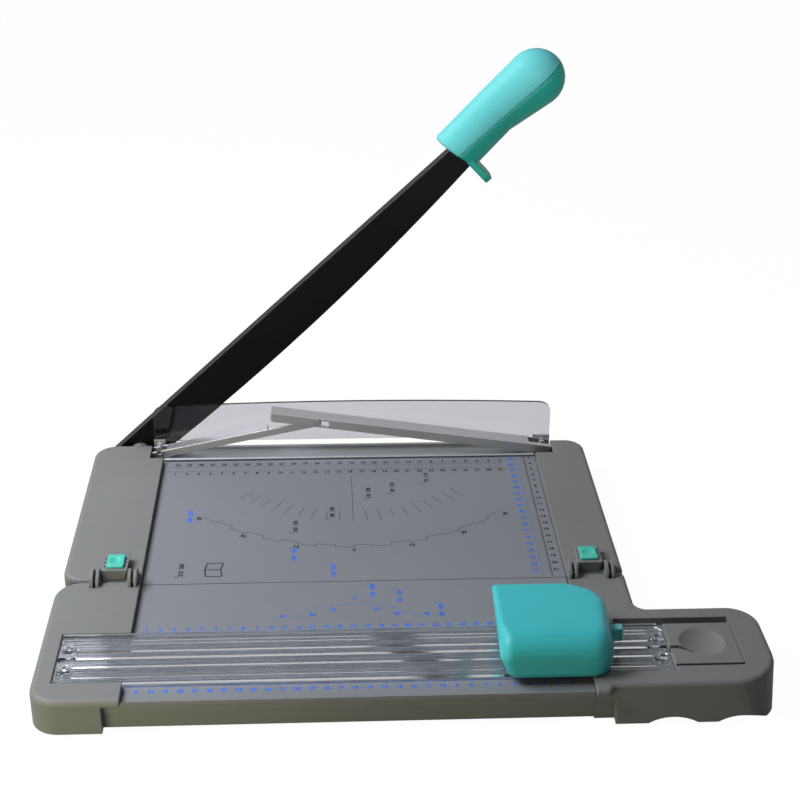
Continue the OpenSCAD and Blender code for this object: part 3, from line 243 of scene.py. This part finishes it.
def makeDustFilm():  # settled dust on faces that look up
    group, gin, gout = newGroup("dustFilm", [("Scale", 60.0)], [("Mask", "NodeSocketFloat")])
    noise = objectNoise(group, gin.outputs["Scale"], 8.0)
    geo = put(group, "ShaderNodeNewGeometry")
    split = put(group, "ShaderNodeSeparateXYZ")
    wire(group, geo.outputs["Normal"], split.inputs[0])
    upward = ramp(group, split.outputs[2], 0.5, 1.0)
    cloud = ramp(group, noise.outputs["Fac"], 0.45, 0.75)
    wire(group, mathNode(group, "MULTIPLY", upward, cloud), gout.inputs["Mask"])
    return group


edgeWearAndHighlight = makeEdgeWear()
mouldGrain = makeMouldGrain()
toneDrift = makeToneDrift()
drawnLines = makeDrawnLines()
dustFilm = makeDustFilm()
print("shared effects built")


# what every finish needs
def finishMaterial(tree, shader):
    out = put(tree, "ShaderNodeOutputMaterial")
    wire(tree, shader, out.inputs["Surface"])


def roughen(tree, shader, mask, rough, spread):
    wire(tree, ramp(tree, mask, 0.0, 1.0, rough, rough + spread), shader.inputs["Roughness"])


def emboss(tree, shader, height, normal, strength, depth):
    bump = put(tree, "ShaderNodeBump")
    bump.inputs["Strength"].default_value = strength
    bump.inputs["Distance"].default_value = depth
    wire(tree, height, bump.inputs["Height"])
    wire(tree, normal, bump.inputs["Normal"])
    wire(tree, bump.outputs[0], shader.inputs["Normal"])


def mouldedPlastic(name, s):
    mat, tree = newTree(name)
    shader = put(tree, "ShaderNodeBsdfPrincipled")
    shader.inputs["Specular IOR Level"].default_value = s["shine"]
    wearAndHighlight = placeGroup(tree, edgeWearAndHighlight, Radius=s["edge"], Breakup=s["breakup"])
    grain = placeGroup(tree, mouldGrain, Scale=s["grain"])
    drift = placeGroup(tree, toneDrift, Scale=s["drift"])
    dust = placeGroup(tree, dustFilm, Scale=s["dustScale"])
    tone = mixColour(tree, drift.outputs["Value"], s["dark"], s["light"])
    speckled = overlay(tree, grain.outputs["Speckle"], s["speckle"], tone, s["light"])
    dusty = overlay(tree, dust.outputs["Mask"], s["dust"], speckled, s["dustColour"])
    # edges painted lighter with the rub colour: partly rubbed wear, partly painted highlight
    wornAndHighlit = overlay(tree, wearAndHighlight.outputs["Mask"], s["wearAndHighlight"], dusty, s["rubAndHighlight"])
    wire(tree, wornAndHighlit, shader.inputs["Base Color"])
    roughen(tree, shader, grain.outputs["Speckle"], s["rough"], s["spread"])
    emboss(tree, shader, grain.outputs["Height"], wearAndHighlight.outputs["Normal"], s["bump"], s["depth"])
    finishMaterial(tree, shader.outputs[0])
    return mat


# the rub colour paints the shells' edges lighter: partly rubbed wear, partly painted highlight on the
# rounded edges
casingSet = {
    "edge": 0.0012, "breakup": 160.0, "wearAndHighlight": 0.35, "rubAndHighlight": srgb(158, 159, 156),
    "grain": 1500.0, "speckle": 0.12, "bump": 0.12, "depth": 0.0002,
    "drift": 7.0, "dark": srgb(120, 121, 119), "light": srgb(126, 127, 125),
    "dust": 0.06, "dustScale": 70.0, "dustColour": srgb(150, 150, 148),
    "rough": 0.46, "spread": 0.1, "shine": 0.28,
}
# the board's rub colour and share paint a highlight along its edges, chiefly at the seam between the
# boards
boardSet = dict(
    casingSet, edge=0.0011, wearAndHighlight=0.55, rubAndHighlight=srgb(178, 180, 184), grain=2400.0, speckle=0.10, bump=0.06,
    drift=5.0, dark=srgb(125, 127, 132), light=srgb(130, 132, 137), dust=0.04,
    dustColour=srgb(160, 161, 164), rough=0.42, shine=0.36)
tealLightSet = dict(
    casingSet, edge=0.0010, wearAndHighlight=0.25, rubAndHighlight=srgb(160, 228, 224), grain=2000.0, speckle=0.08, bump=0.05,
    drift=10.0, dark=srgb(98, 198, 198), light=srgb(107, 205, 205), dust=0.04,
    dustColour=srgb(150, 214, 212), rough=0.34, shine=0.5)
handleSet = dict(tealLightSet, edge=0.003, wearAndHighlight=0.0, rough=0.42, shine=0.2)
# same teal plastic as the upper shell, given a darker colour: painted shade on the handle's lower shell
tealShadedCopySet = dict(
    tealLightSet, dark=srgb(14, 160, 140), light=srgb(22, 168, 150), rubAndHighlight=srgb(100, 200, 190),
    edge=0.003, wearAndHighlight=0.0)
carriageSet = dict(
    tealLightSet, dark=srgb(52, 186, 190), light=srgb(60, 193, 198), rubAndHighlight=srgb(130, 220, 218),
    dustColour=srgb(120, 190, 190), rough=0.36, edge=0.005, wearAndHighlight=0.08)
latchSet = dict(carriageSet, dark=srgb(58, 190, 168), light=srgb(68, 198, 178), edge=0.0004)
matSet = dict(
    casingSet, edge=0.0004, wearAndHighlight=0.15, rubAndHighlight=srgb(110, 112, 116), grain=2600.0, speckle=0.2, bump=0.15,
    drift=12.0, dark=srgb(74, 77, 80), light=srgb(88, 91, 95), dust=0.15,
    dustColour=srgb(130, 132, 134), rough=0.55, shine=0.35)
rubberSet = dict(matSet, dark=srgb(36, 36, 37), light=srgb(46, 46, 47), rough=0.7, wearAndHighlight=0.1, dust=0.1)


def metal(name, s):
    mat, tree = newTree(name)
    shader = put(tree, "ShaderNodeBsdfPrincipled")
    shader.inputs["Metallic"].default_value = s["metallic"]
    shader.inputs["Specular IOR Level"].default_value = s["shine"]
    wearAndHighlight = placeGroup(tree, edgeWearAndHighlight, Radius=s["edge"], Breakup=s["breakup"])
    lines = placeGroup(tree, drawnLines, Along=s["along"], Across=s["across"])
    drift = placeGroup(tree, toneDrift, Scale=s["drift"])
    tone = mixColour(tree, drift.outputs["Value"], s["dark"], s["light"])
    streaked = overlay(tree, lines.outputs["Streak"], s["streak"], tone, s["line"])
    # edges painted lighter with the rub colour: partly rubbed wear, partly painted highlight
    wornAndHighlit = overlay(tree, wearAndHighlight.outputs["Mask"], s["wearAndHighlight"], streaked, s["rubAndHighlight"])
    wire(tree, wornAndHighlit, shader.inputs["Base Color"])
    roughen(tree, shader, lines.outputs["Streak"], s["rough"], s["spread"])
    emboss(tree, shader, lines.outputs["Height"], wearAndHighlight.outputs["Normal"], s["bump"], s["depth"])
    finishMaterial(tree, shader.outputs[0])
    return mat


bedSet = {
    "metallic": 0.7, "shine": 0.5, "rough": 0.34, "spread": 0.16,
    "edge": 0.0004, "breakup": 200.0, "wearAndHighlight": 0.5, "rubAndHighlight": srgb(225, 227, 228),
    "along": 5.0, "across": 2600.0, "streak": 0.5, "line": srgb(150, 154, 158),
    "bump": 0.10, "depth": 0.0001,
    "drift": 14.0, "dark": srgb(176, 180, 184), "light": srgb(192, 196, 200),
}
knifeSteelSet = dict(bedSet, dark=srgb(170, 172, 174), light=srgb(186, 188, 190), rough=0.24)
screwSet = dict(bedSet, along=900.0, across=900.0, rough=0.28, bump=0.05)
# near-white rub colour at a high share paints a highlight along the clamp channels' bent edges
clampSet = dict(
    bedSet, metallic=0.85, dark=srgb(186, 187, 189), light=srgb(198, 199, 201), line=srgb(176, 178, 180),
    rough=0.36, bump=0.05, edge=0.0008, wearAndHighlight=0.9, rubAndHighlight=srgb(240, 240, 241))
enamelSet = dict(
    bedSet, metallic=0.0, shine=0.14, rough=0.30, spread=0.10, edge=0.0006, wearAndHighlight=0.45,
    rubAndHighlight=srgb(120, 120, 122), along=300.0, across=300.0, streak=0.2, line=srgb(18, 18, 20), bump=0.03,
    dark=srgb(8, 8, 9), light=srgb(13, 13, 15))

railSet = {
    "tint": srgb(238, 240, 244), "ior": 1.49, "shadow": (0.86, 0.87, 0.88, 1.0),
    "drift": 40.0, "haze": 0.03, "spread": 0.03, "edge": 0.00015,
}
guardSet = dict(railSet, tint=(0.86, 0.845, 0.89, 1.0), edge=0.0003)


def clearAcrylic(name, s):
    mat, tree = newTree(name)
    shader = put(tree, "ShaderNodeBsdfPrincipled")
    shader.inputs["Base Color"].default_value = s["tint"]
    shader.inputs["Transmission Weight"].default_value = 1.0
    shader.inputs["IOR"].default_value = s["ior"]
    drift = placeGroup(tree, toneDrift, Scale=s["drift"])
    roughen(tree, shader, drift.outputs["Value"], s["haze"], s["spread"])
    soft = placeGroup(tree, edgeWearAndHighlight, Radius=s["edge"])
    wire(tree, soft.outputs["Normal"], shader.inputs["Normal"])
    seeThrough = put(tree, "ShaderNodeBsdfTransparent")
    seeThrough.inputs[0].default_value = s["shadow"]
    path = put(tree, "ShaderNodeLightPath")
    # light passes the clear plates, so what is below stays lit
    mixed = mixShaders(tree, path.outputs["Is Shadow Ray"], shader.outputs[0], seeThrough.outputs[0])
    finishMaterial(tree, mixed)
    return mat


blackInkSet = {
    "dark": srgb(10, 10, 12), "light": srgb(20, 20, 23), "drift": 400.0, "rough": 0.5, "shine": 0.15,
}
blueInkSet = dict(blackInkSet, dark=srgb(14, 104, 226), light=srgb(28, 120, 242))


def printInk(name, s):
    mat, tree = newTree(name)
    shader = put(tree, "ShaderNodeBsdfPrincipled")
    drift = placeGroup(tree, toneDrift, Scale=s["drift"])
    wire(tree, mixColour(tree, drift.outputs["Value"], s["dark"], s["light"]), shader.inputs["Base Color"])
    shader.inputs["Roughness"].default_value = s["rough"]
    shader.inputs["Specular IOR Level"].default_value = s["shine"]
    finishMaterial(tree, shader.outputs[0])
    return mat


slotMaterials = {
    "casing_grey": mouldedPlastic("casingPlastic", casingSet),
    "board_grey": mouldedPlastic("boardPlate", boardSet),
    "aluminium_bed": metal("bedAluminium", bedSet),
    "knife_steel": metal("groundSteel", knifeSteelSet),
    "black_steel": metal("blackEnamel", enamelSet),
    "screw_steel": metal("screwSteel", screwSet),
    "clear_plastic": clearAcrylic("clearAcrylic", railSet),
    "teal_light": mouldedPlastic("tealShell", tealLightSet),
    # the handle's lower shell: the teal painted darker as painted shade
    "teal_dark": mouldedPlastic("tealUndersideShaded", tealShadedCopySet),
    "clamp_metal": metal("clampSheet", clampSet),
    "foot_rubber": mouldedPlastic("footRubber", rubberSet),
    "mat_grey": mouldedPlastic("cuttingMat", matSet),
}
latchSlide = mouldedPlastic("latchSlide", latchSet)
pieceMaterials = {  # pieces that differ from the rest of their slot
    "finger_guard": clearAcrylic("guardAcrylic", guardSet),
    "carriage_cover": mouldedPlastic("carriageShell", carriageSet),
    "handle_upper": mouldedPlastic("handleShell", handleSet),
    "latch_left": latchSlide,
    "latch_right": latchSlide,
}
blackInk = printInk("blackInk", blackInkSet)
blueInk = printInk("blueInk", blueInkSet)

for part in frame["record"]["subparts"]:
    piece = nodes[part["node"]]
    piece.data.materials.clear()
    piece.data.materials.append(pieceMaterials.get(part["node"], slotMaterials[part["material_slot"]]))


# printing: thin ink lines and numerals lying on the boards, in millimetres
inkSet = {
    "thick": 0.04, "line": 0.36, "tick": 0.22, "fine": 0.14,
    "digit": 3.8, "smallDigit": 3.4, "bold": 0.05, "fontSize": 1.35, "fontSteps": 2,
}
barFaces = ((0, 1, 2, 3), (7, 6, 5, 4), (0, 4, 5, 1), (1, 5, 6, 2), (2, 6, 7, 3), (3, 7, 4, 0))
glyphStore = {}


def glyphs(text):  # solid numerals of height 1, centred, ink thick
    if text not in glyphStore:
        curve = bpy.data.curves.new("numeral", "FONT")
        curve.body = text
        curve.align_x = "CENTER"
        curve.align_y = "CENTER"
        curve.size = inkSet["fontSize"]
        curve.resolution_u = inkSet["fontSteps"]
        curve.extrude = inkSet["thick"] * mm / 2
        curve.offset = inkSet["bold"]
        holder = bpy.data.objects.new("numeral", curve)
        mesh = holder.to_mesh()
        points = [v.co + Vector((0, 0, curve.extrude)) for v in mesh.vertices]
        faces = [list(p.vertices) for p in mesh.polygons]
        holder.to_mesh_clear()
        bpy.data.objects.remove(holder)
        bpy.data.curves.remove(curve)
        glyphStore[text] = (points, faces)
    return glyphStore[text]


class InkSheet:
    def __init__(self, plate):  # ink lies on the upper face of this plate
        self.points = []
        self.faces = []
        self.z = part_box(plate)[1].z

    def add(self, points, faces):
        start = len(self.points)
        self.points += [tuple(p) for p in points]
        self.faces += [[start + i for i in face] for face in faces]

    def line(self, x1, y1, x2, y2, wide=inkSet["line"]):
        a, b = onBoard(x1, y1, self.z), onBoard(x2, y2, self.z)
        side = Vector((a.y - b.y, b.x - a.x, 0)).normalized() * wide * mm / 2
        low = [a - side, a + side, b + side, b - side]
        thick = Vector((0, 0, inkSet["thick"] * mm))
        self.add(low + [p + thick for p in low], barFaces)

    def path(self, spots, wide=inkSet["line"]):
        for (x1, y1), (x2, y2) in zip(spots, spots[1:]):
            self.line(x1, y1, x2, y2, wide)

    def word(self, text, x, y, size, turn=0.0):
        points, faces = glyphs(text)
        place = Matrix.Translation(onBoard(x, y, self.z)) @ Matrix.Rotation(math.radians(turn), 4, "Z")
        place = place @ Matrix.Diagonal((size * mm, size * mm, 1, 1))
        self.add([place @ p for p in points], faces)

    def lay(self, name, ink, body):
        mesh = bpy.data.meshes.new(name)
        mesh.from_pydata(self.points, [], self.faces)
        mesh.materials.append(ink)
        obj = bpy.data.objects.new(name, mesh)
        bpy.context.scene.collection.objects.link(obj)
        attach(obj, body)


def upTo(ends):  # whole numbers from first to last, both counted
    return range(ends[0], ends[1] + 1)


def tickSize(s, step):
    if step % 10 == 0:
        return s["long"]
    if step % 5 == 0:
        return s.get("half", s["tick"])
    return s["tick"]


# centimetre rows along the bed: the upper one counts from the right, the lower one from the left
topScale = {
    "zero": 2.7, "rightZero": 314.5, "numbers": (1, 29), "ticks": (2, 290),
    "tick": 1.3, "half": 1.9, "long": 2.6, "upperNumber": -35.2, "upperTick": -38.2,
    "lowerTick": -47.2, "lowerNumber": -50.8, "lowerShift": -1.2,
}


def printTopScale(sheet, s):
    for i in upTo(s["ticks"]):
        x = s["zero"] + i
        size = tickSize(s, i)
        sheet.line(x, s["upperTick"], x, s["upperTick"] - size, inkSet["tick"])
        sheet.line(x, s["lowerTick"], x, s["lowerTick"] + size, inkSet["tick"])
    for n in upTo(s["numbers"]):
        x = s["zero"] + 10 * n
        sheet.word(str(round((s["rightZero"] - x) / 10)), x, s["upperNumber"], inkSet["smallDigit"])
        sheet.word(str(n), x + s["lowerShift"], s["lowerNumber"], inkSet["smallDigit"])


# centimetres from the guillotine's cut, along the right fence
sideScale = {
    "line": 314.5, "margin": 0.6, "numbers": (3, 21), "number": 318.6, "drop": 0.6,
    "ticks": (29, 218), "tick": 1.2, "half": 1.8, "long": 2.8,
}


def printSideScale(sheet, s):
    sheet.line(s["line"], rearEdge - s["margin"], s["line"], seamLine + s["margin"])
    for i in upTo(s["ticks"]):
        sheet.line(s["line"] - tickSize(s, i), -i, s["line"], -i, inkSet["tick"])
    for n in upTo(s["numbers"]):
        sheet.word(str(n), s["number"], -10 * n - s["drop"], inkSet["smallDigit"])


# centimetres from the rotary cut, beside that row
blueScale = {
    "column": 302.0, "tickLine": 308.2, "offset": -2.0, "numbers": (11, 29), "tick": 1.0, "long": 2.0,
}


def printBlueScale(sheet, s):
    for n in upTo(s["numbers"]):
        y = rotaryLine + s["offset"] + 10 * n
        sheet.word(str(n), s["column"], y, inkSet["digit"])
        for i in range(10):
            if y - i > seamLine:
                sheet.line(s["tickLine"] - tickSize(s, i), y - i, s["tickLine"], y - i, inkSet["fine"])


angleFan = {
    "middle": 162.5, "inner": 117.0, "outer": 132.5, "centreLine": 60.0, "low": 170.0, "high": 173.0,
    "label": 177.5, "step": 5, "reach": 45, "labelStep": 15,
}


def fanSpot(s, angle, radius, centreY=0.0, up=-1):
    a = math.radians(angle)
    return (s["middle"] + radius * math.sin(a), centreY + up * radius * math.cos(a))


def steppedArc(sheet, s, centreY, up, wide):
    spots = []
    for k, angle in enumerate(range(-s["reach"], s["reach"], s["step"])):
        radius = s["high"] if k % 2 == 0 else s["low"]
        spots += [fanSpot(s, angle + i, radius, centreY, up) for i in range(s["step"] + 1)]
    sheet.path(spots, wide)


def printAngleFan(sheet, s):
    for angle in range(-s["reach"], s["reach"] + 1, s["step"]):
        inner = s["centreLine"] if angle == 0 else s["inner"]
        sheet.path([fanSpot(s, angle, inner), fanSpot(s, angle, s["outer"])])
    steppedArc(sheet, s, 0.0, -1, inkSet["line"])
    for angle in range(-s["reach"], s["reach"] + 1, s["labelStep"]):
        x, y = fanSpot(s, angle, s["label"])
        sheet.word(str(abs(angle)), x, y, inkSet["digit"], angle)


smallFan = {
    "middle": 161.0, "low": 67.0, "high": 69.0, "label": 75.0, "nearLabel": 62.5,
    "step": 5, "reach": 45, "labelStep": 15,
}


def printSmallFan(sheet, s):
    steppedArc(sheet, s, rotaryLine, 1, inkSet["tick"])
    for angle in range(-s["reach"], s["reach"] + 1, s["labelStep"]):
        radius = s["label"] if angle % s["reach"] == 0 else s["nearLabel"]
        x, y = fanSpot(s, angle, radius, rotaryLine, 1)
        sheet.word(str(abs(angle)), x, y, inkSet["digit"])


# sheet size marks: both sides in millimetres, read upwards, with a corner before (-1) or after (1) them
blackSizes = [
    ("80  100", 145.7, -118.0, -1), ("130  180", 176.4, -88.0, -1), ("90  130", 196.8, -79.0, -1),
    ("70  110", 226.5, -63.0, -1), ("100  150", 115.9, -140.5, -1), ("210  300", 28.6, -202.5, -1),
]
blueSizes = [
    ("150  210", 146.0, -207.0, 1), ("100  150", 115.4, -183.0, 1), ("250  350", 29.8, -122.0, 1),
]
blueFrontSizes = [
    ("130  180", 175.2, -236.0, 1), ("90  130", 195.5, -243.5, 1), ("80  100", 225.5, -262.5, 1),
]
sizeMark = {"corner": 3.2, "left": 4.2, "half": 10.5}


def printSizes(sheet, rows, s):
    for text, x, y, up in rows:
        sheet.word(text, x, y, inkSet["digit"], 90)
        left, end = x - s["left"], y + up * s["half"]
        sheet.path([(left + s["corner"], end), (left, end), (left, end - up * s["corner"])])


foldSign = {
    "left": 46.5, "right": 60.3, "top": -193.4, "fold": -202.7, "low": -212.0,
    "slant": 1.6, "footSlant": 1.28, "wide": 0.9,
}


def printFoldSign(sheet, s):  # a plain folded sheet
    foldLeft = (s["left"], s["fold"])
    foldRight = (s["right"] - s["slant"], s["fold"])
    upperHalf = [(s["left"] + s["slant"], s["top"]), (s["right"], s["top"])]
    lowerHalf = [(s["right"], s["low"]), (s["left"] + s["footSlant"], s["low"])]
    sheet.path([foldLeft] + upperHalf + [foldRight] + lowerHalf + [foldLeft, foldRight], s["wide"])


# centimetres behind the rail, from the left, and before it, from the right
frontScale = {
    "zero": 0.0, "way": 1, "number": -281.6, "shift": -0.4, "numbers": (1, 31),
    "ticks": (2, 310), "tickTop": -284.2, "tick": 0.9, "long": 1.6,
}
ledgeScale = {
    "zero": 319.6, "way": -1, "number": -354.6, "shift": 0.0, "numbers": (1, 32),
    "ticks": (10, 320), "tickTop": -348.4, "tick": 1.2, "long": 2.6,
}


def printRailScale(sheet, s):
    for n in upTo(s["numbers"]):
        sheet.word(str(n), s["zero"] + s["way"] * 10 * n + s["shift"], s["number"], inkSet["smallDigit"])
    for i in upTo(s["ticks"]):
        x = s["zero"] + s["way"] * i
        sheet.line(x, s["tickTop"], x, s["tickTop"] - tickSize(s, i), inkSet["tick"])


rearBlack = InkSheet("rear_board")
printTopScale(rearBlack, topScale)
printSideScale(rearBlack, sideScale)
printAngleFan(rearBlack, angleFan)
printSizes(rearBlack, blackSizes, sizeMark)
printFoldSign(rearBlack, foldSign)
rearBlack.lay("rear_print_black", blackInk, "rear_half")
rearBlue = InkSheet("rear_board")
printBlueScale(rearBlue, blueScale)
printSizes(rearBlue, blueSizes, sizeMark)
rearBlue.lay("rear_print_blue", blueInk, "rear_half")
frontBlue = InkSheet("front_board")
printSmallFan(frontBlue, smallFan)
printSizes(frontBlue, blueFrontSizes, sizeMark)
printRailScale(frontBlue, frontScale)
frontBlue.lay("front_print_blue", blueInk, "front_half")
ledgeBlue = InkSheet("ruler_ledge")
printRailScale(ledgeBlue, ledgeScale)
ledgeBlue.lay("ledge_print_blue", blueInk, "front_half")
print("scales printed")


# studio: pale floor, white surround, soft key from the upper left
surroundSet = {"sky": 0.10, "mirror": 0.5, "through": 0.6}
floorSet = {"half": 6.0, "drop": 0.0003, "tone": 0.24, "glow": 1.3, "share": 0.75}


def seenDirect(tree, s):  # rays that show the surround: eye, mirror and glass
    path = put(tree, "ShaderNodeLightPath")
    mirrored = mathNode(tree, "MULTIPLY", path.outputs["Is Glossy Ray"], s["mirror"])
    through = mathNode(tree, "MULTIPLY", path.outputs["Is Transmission Ray"], s["through"])
    dimmed = mathNode(tree, "MAXIMUM", mirrored, through)
    return mathNode(tree, "MAXIMUM", path.outputs["Is Camera Ray"], dimmed)


def addFloor(s):
    half = s["half"]
    corners = [(-half, -half, 0), (half, -half, 0), (half, half, 0), (-half, half, 0)]
    mesh = bpy.data.meshes.new("floor")
    mesh.from_pydata(corners, [], [(0, 1, 2, 3)])
    floor = bpy.data.objects.new("floor", mesh)
    floor.location.z = -s["drop"]
    bpy.context.scene.collection.objects.link(floor)
    mat, tree = newTree("paleFloor")
    shader = put(tree, "ShaderNodeBsdfDiffuse")
    shader.inputs[0].default_value = (s["tone"],) * 3 + (1,)
    glow = put(tree, "ShaderNodeEmission")
    glow.inputs[1].default_value = s["glow"]
    share = mathNode(tree, "MULTIPLY", seenDirect(tree, surroundSet), s["share"])
    finishMaterial(tree, mixShaders(tree, share, shader.outputs[0], glow.outputs[0]))
    mesh.materials.append(mat)


def addWorld(s):
    world = bpy.data.worlds.new("surround")
    world.use_nodes = True
    tree = world.node_tree
    tree.nodes.clear()
    dim = put(tree, "ShaderNodeBackground")
    white = put(tree, "ShaderNodeBackground")
    for background, strength in ((dim, s["sky"]), (white, 1.0)):
        background.inputs[0].default_value = (1, 1, 1, 1)
        background.inputs[1].default_value = strength
    out = put(tree, "ShaderNodeOutputWorld")
    mixed = mixShaders(tree, seenDirect(tree, s), dim.outputs[0], white.outputs[0])
    wire(tree, mixed, out.inputs["Surface"])
    bpy.context.scene.world = world


coolWhite = (0.96, 0.985, 1.06)
warmWhite = (1.0, 0.98, 0.6)
handleLow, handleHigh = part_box("handle_upper")
handleMid = (handleLow + handleHigh) / 2
keySet = {
    "place": (-0.62, -0.02, 0.8), "aim": (-0.05, -0.05, 0.05), "size": (0.5, 0.5),
    "power": 9.8, "colour": coolWhite,
}
fillSet = {
    "place": (-0.38, -0.54, 0.07), "aim": (-0.18, -0.2, 0.02), "size": (0.25, 0.1),
    "power": 0.95, "colour": warmWhite,
}
backSet = {
    "place": (-0.95, 1.45, 1.15), "aim": (-0.05, -0.15, 0.03), "size": (0.9, 0.35),
    "power": 2.6, "colour": coolWhite,
}
handleLightSet = {
    "place": handleMid + Vector((0.12, -0.75, 0.12)), "aim": handleMid, "beam": 20, "blend": 0.6,
    "soft": 0.03, "power": 7.4, "colour": coolWhite,
}


def hangLamp(name, kind, s):
    data = bpy.data.lights.new(name, kind)
    data.energy = s["power"]
    data.color = s["colour"]
    lamp = bpy.data.objects.new(name, data)
    lamp.location = s["place"]
    lamp.rotation_euler = (Vector(s["aim"]) - Vector(s["place"])).to_track_quat("-Z", "Y").to_euler()
    bpy.context.scene.collection.objects.link(lamp)
    return data


def addPanel(name, s):  # broad soft panel
    data = hangLamp(name, "AREA", s)
    data.shape = "RECTANGLE"
    data.size, data.size_y = s["size"]


def addSpot(name, s):  # narrow beam for one piece
    data = hangLamp(name, "SPOT", s)
    data.spot_size = math.radians(s["beam"])
    data.spot_blend = s["blend"]
    data.shadow_soft_size = s["soft"]


addFloor(floorSet)
addWorld(surroundSet)
addPanel("keyLamp", keySet)
addPanel("fillLamp", fillSet)
addPanel("backLamp", backSet)
addSpot("handleLamp", handleLightSet)
bpy.context.scene.view_settings.view_transform = "Standard"
print("lights and floor set")
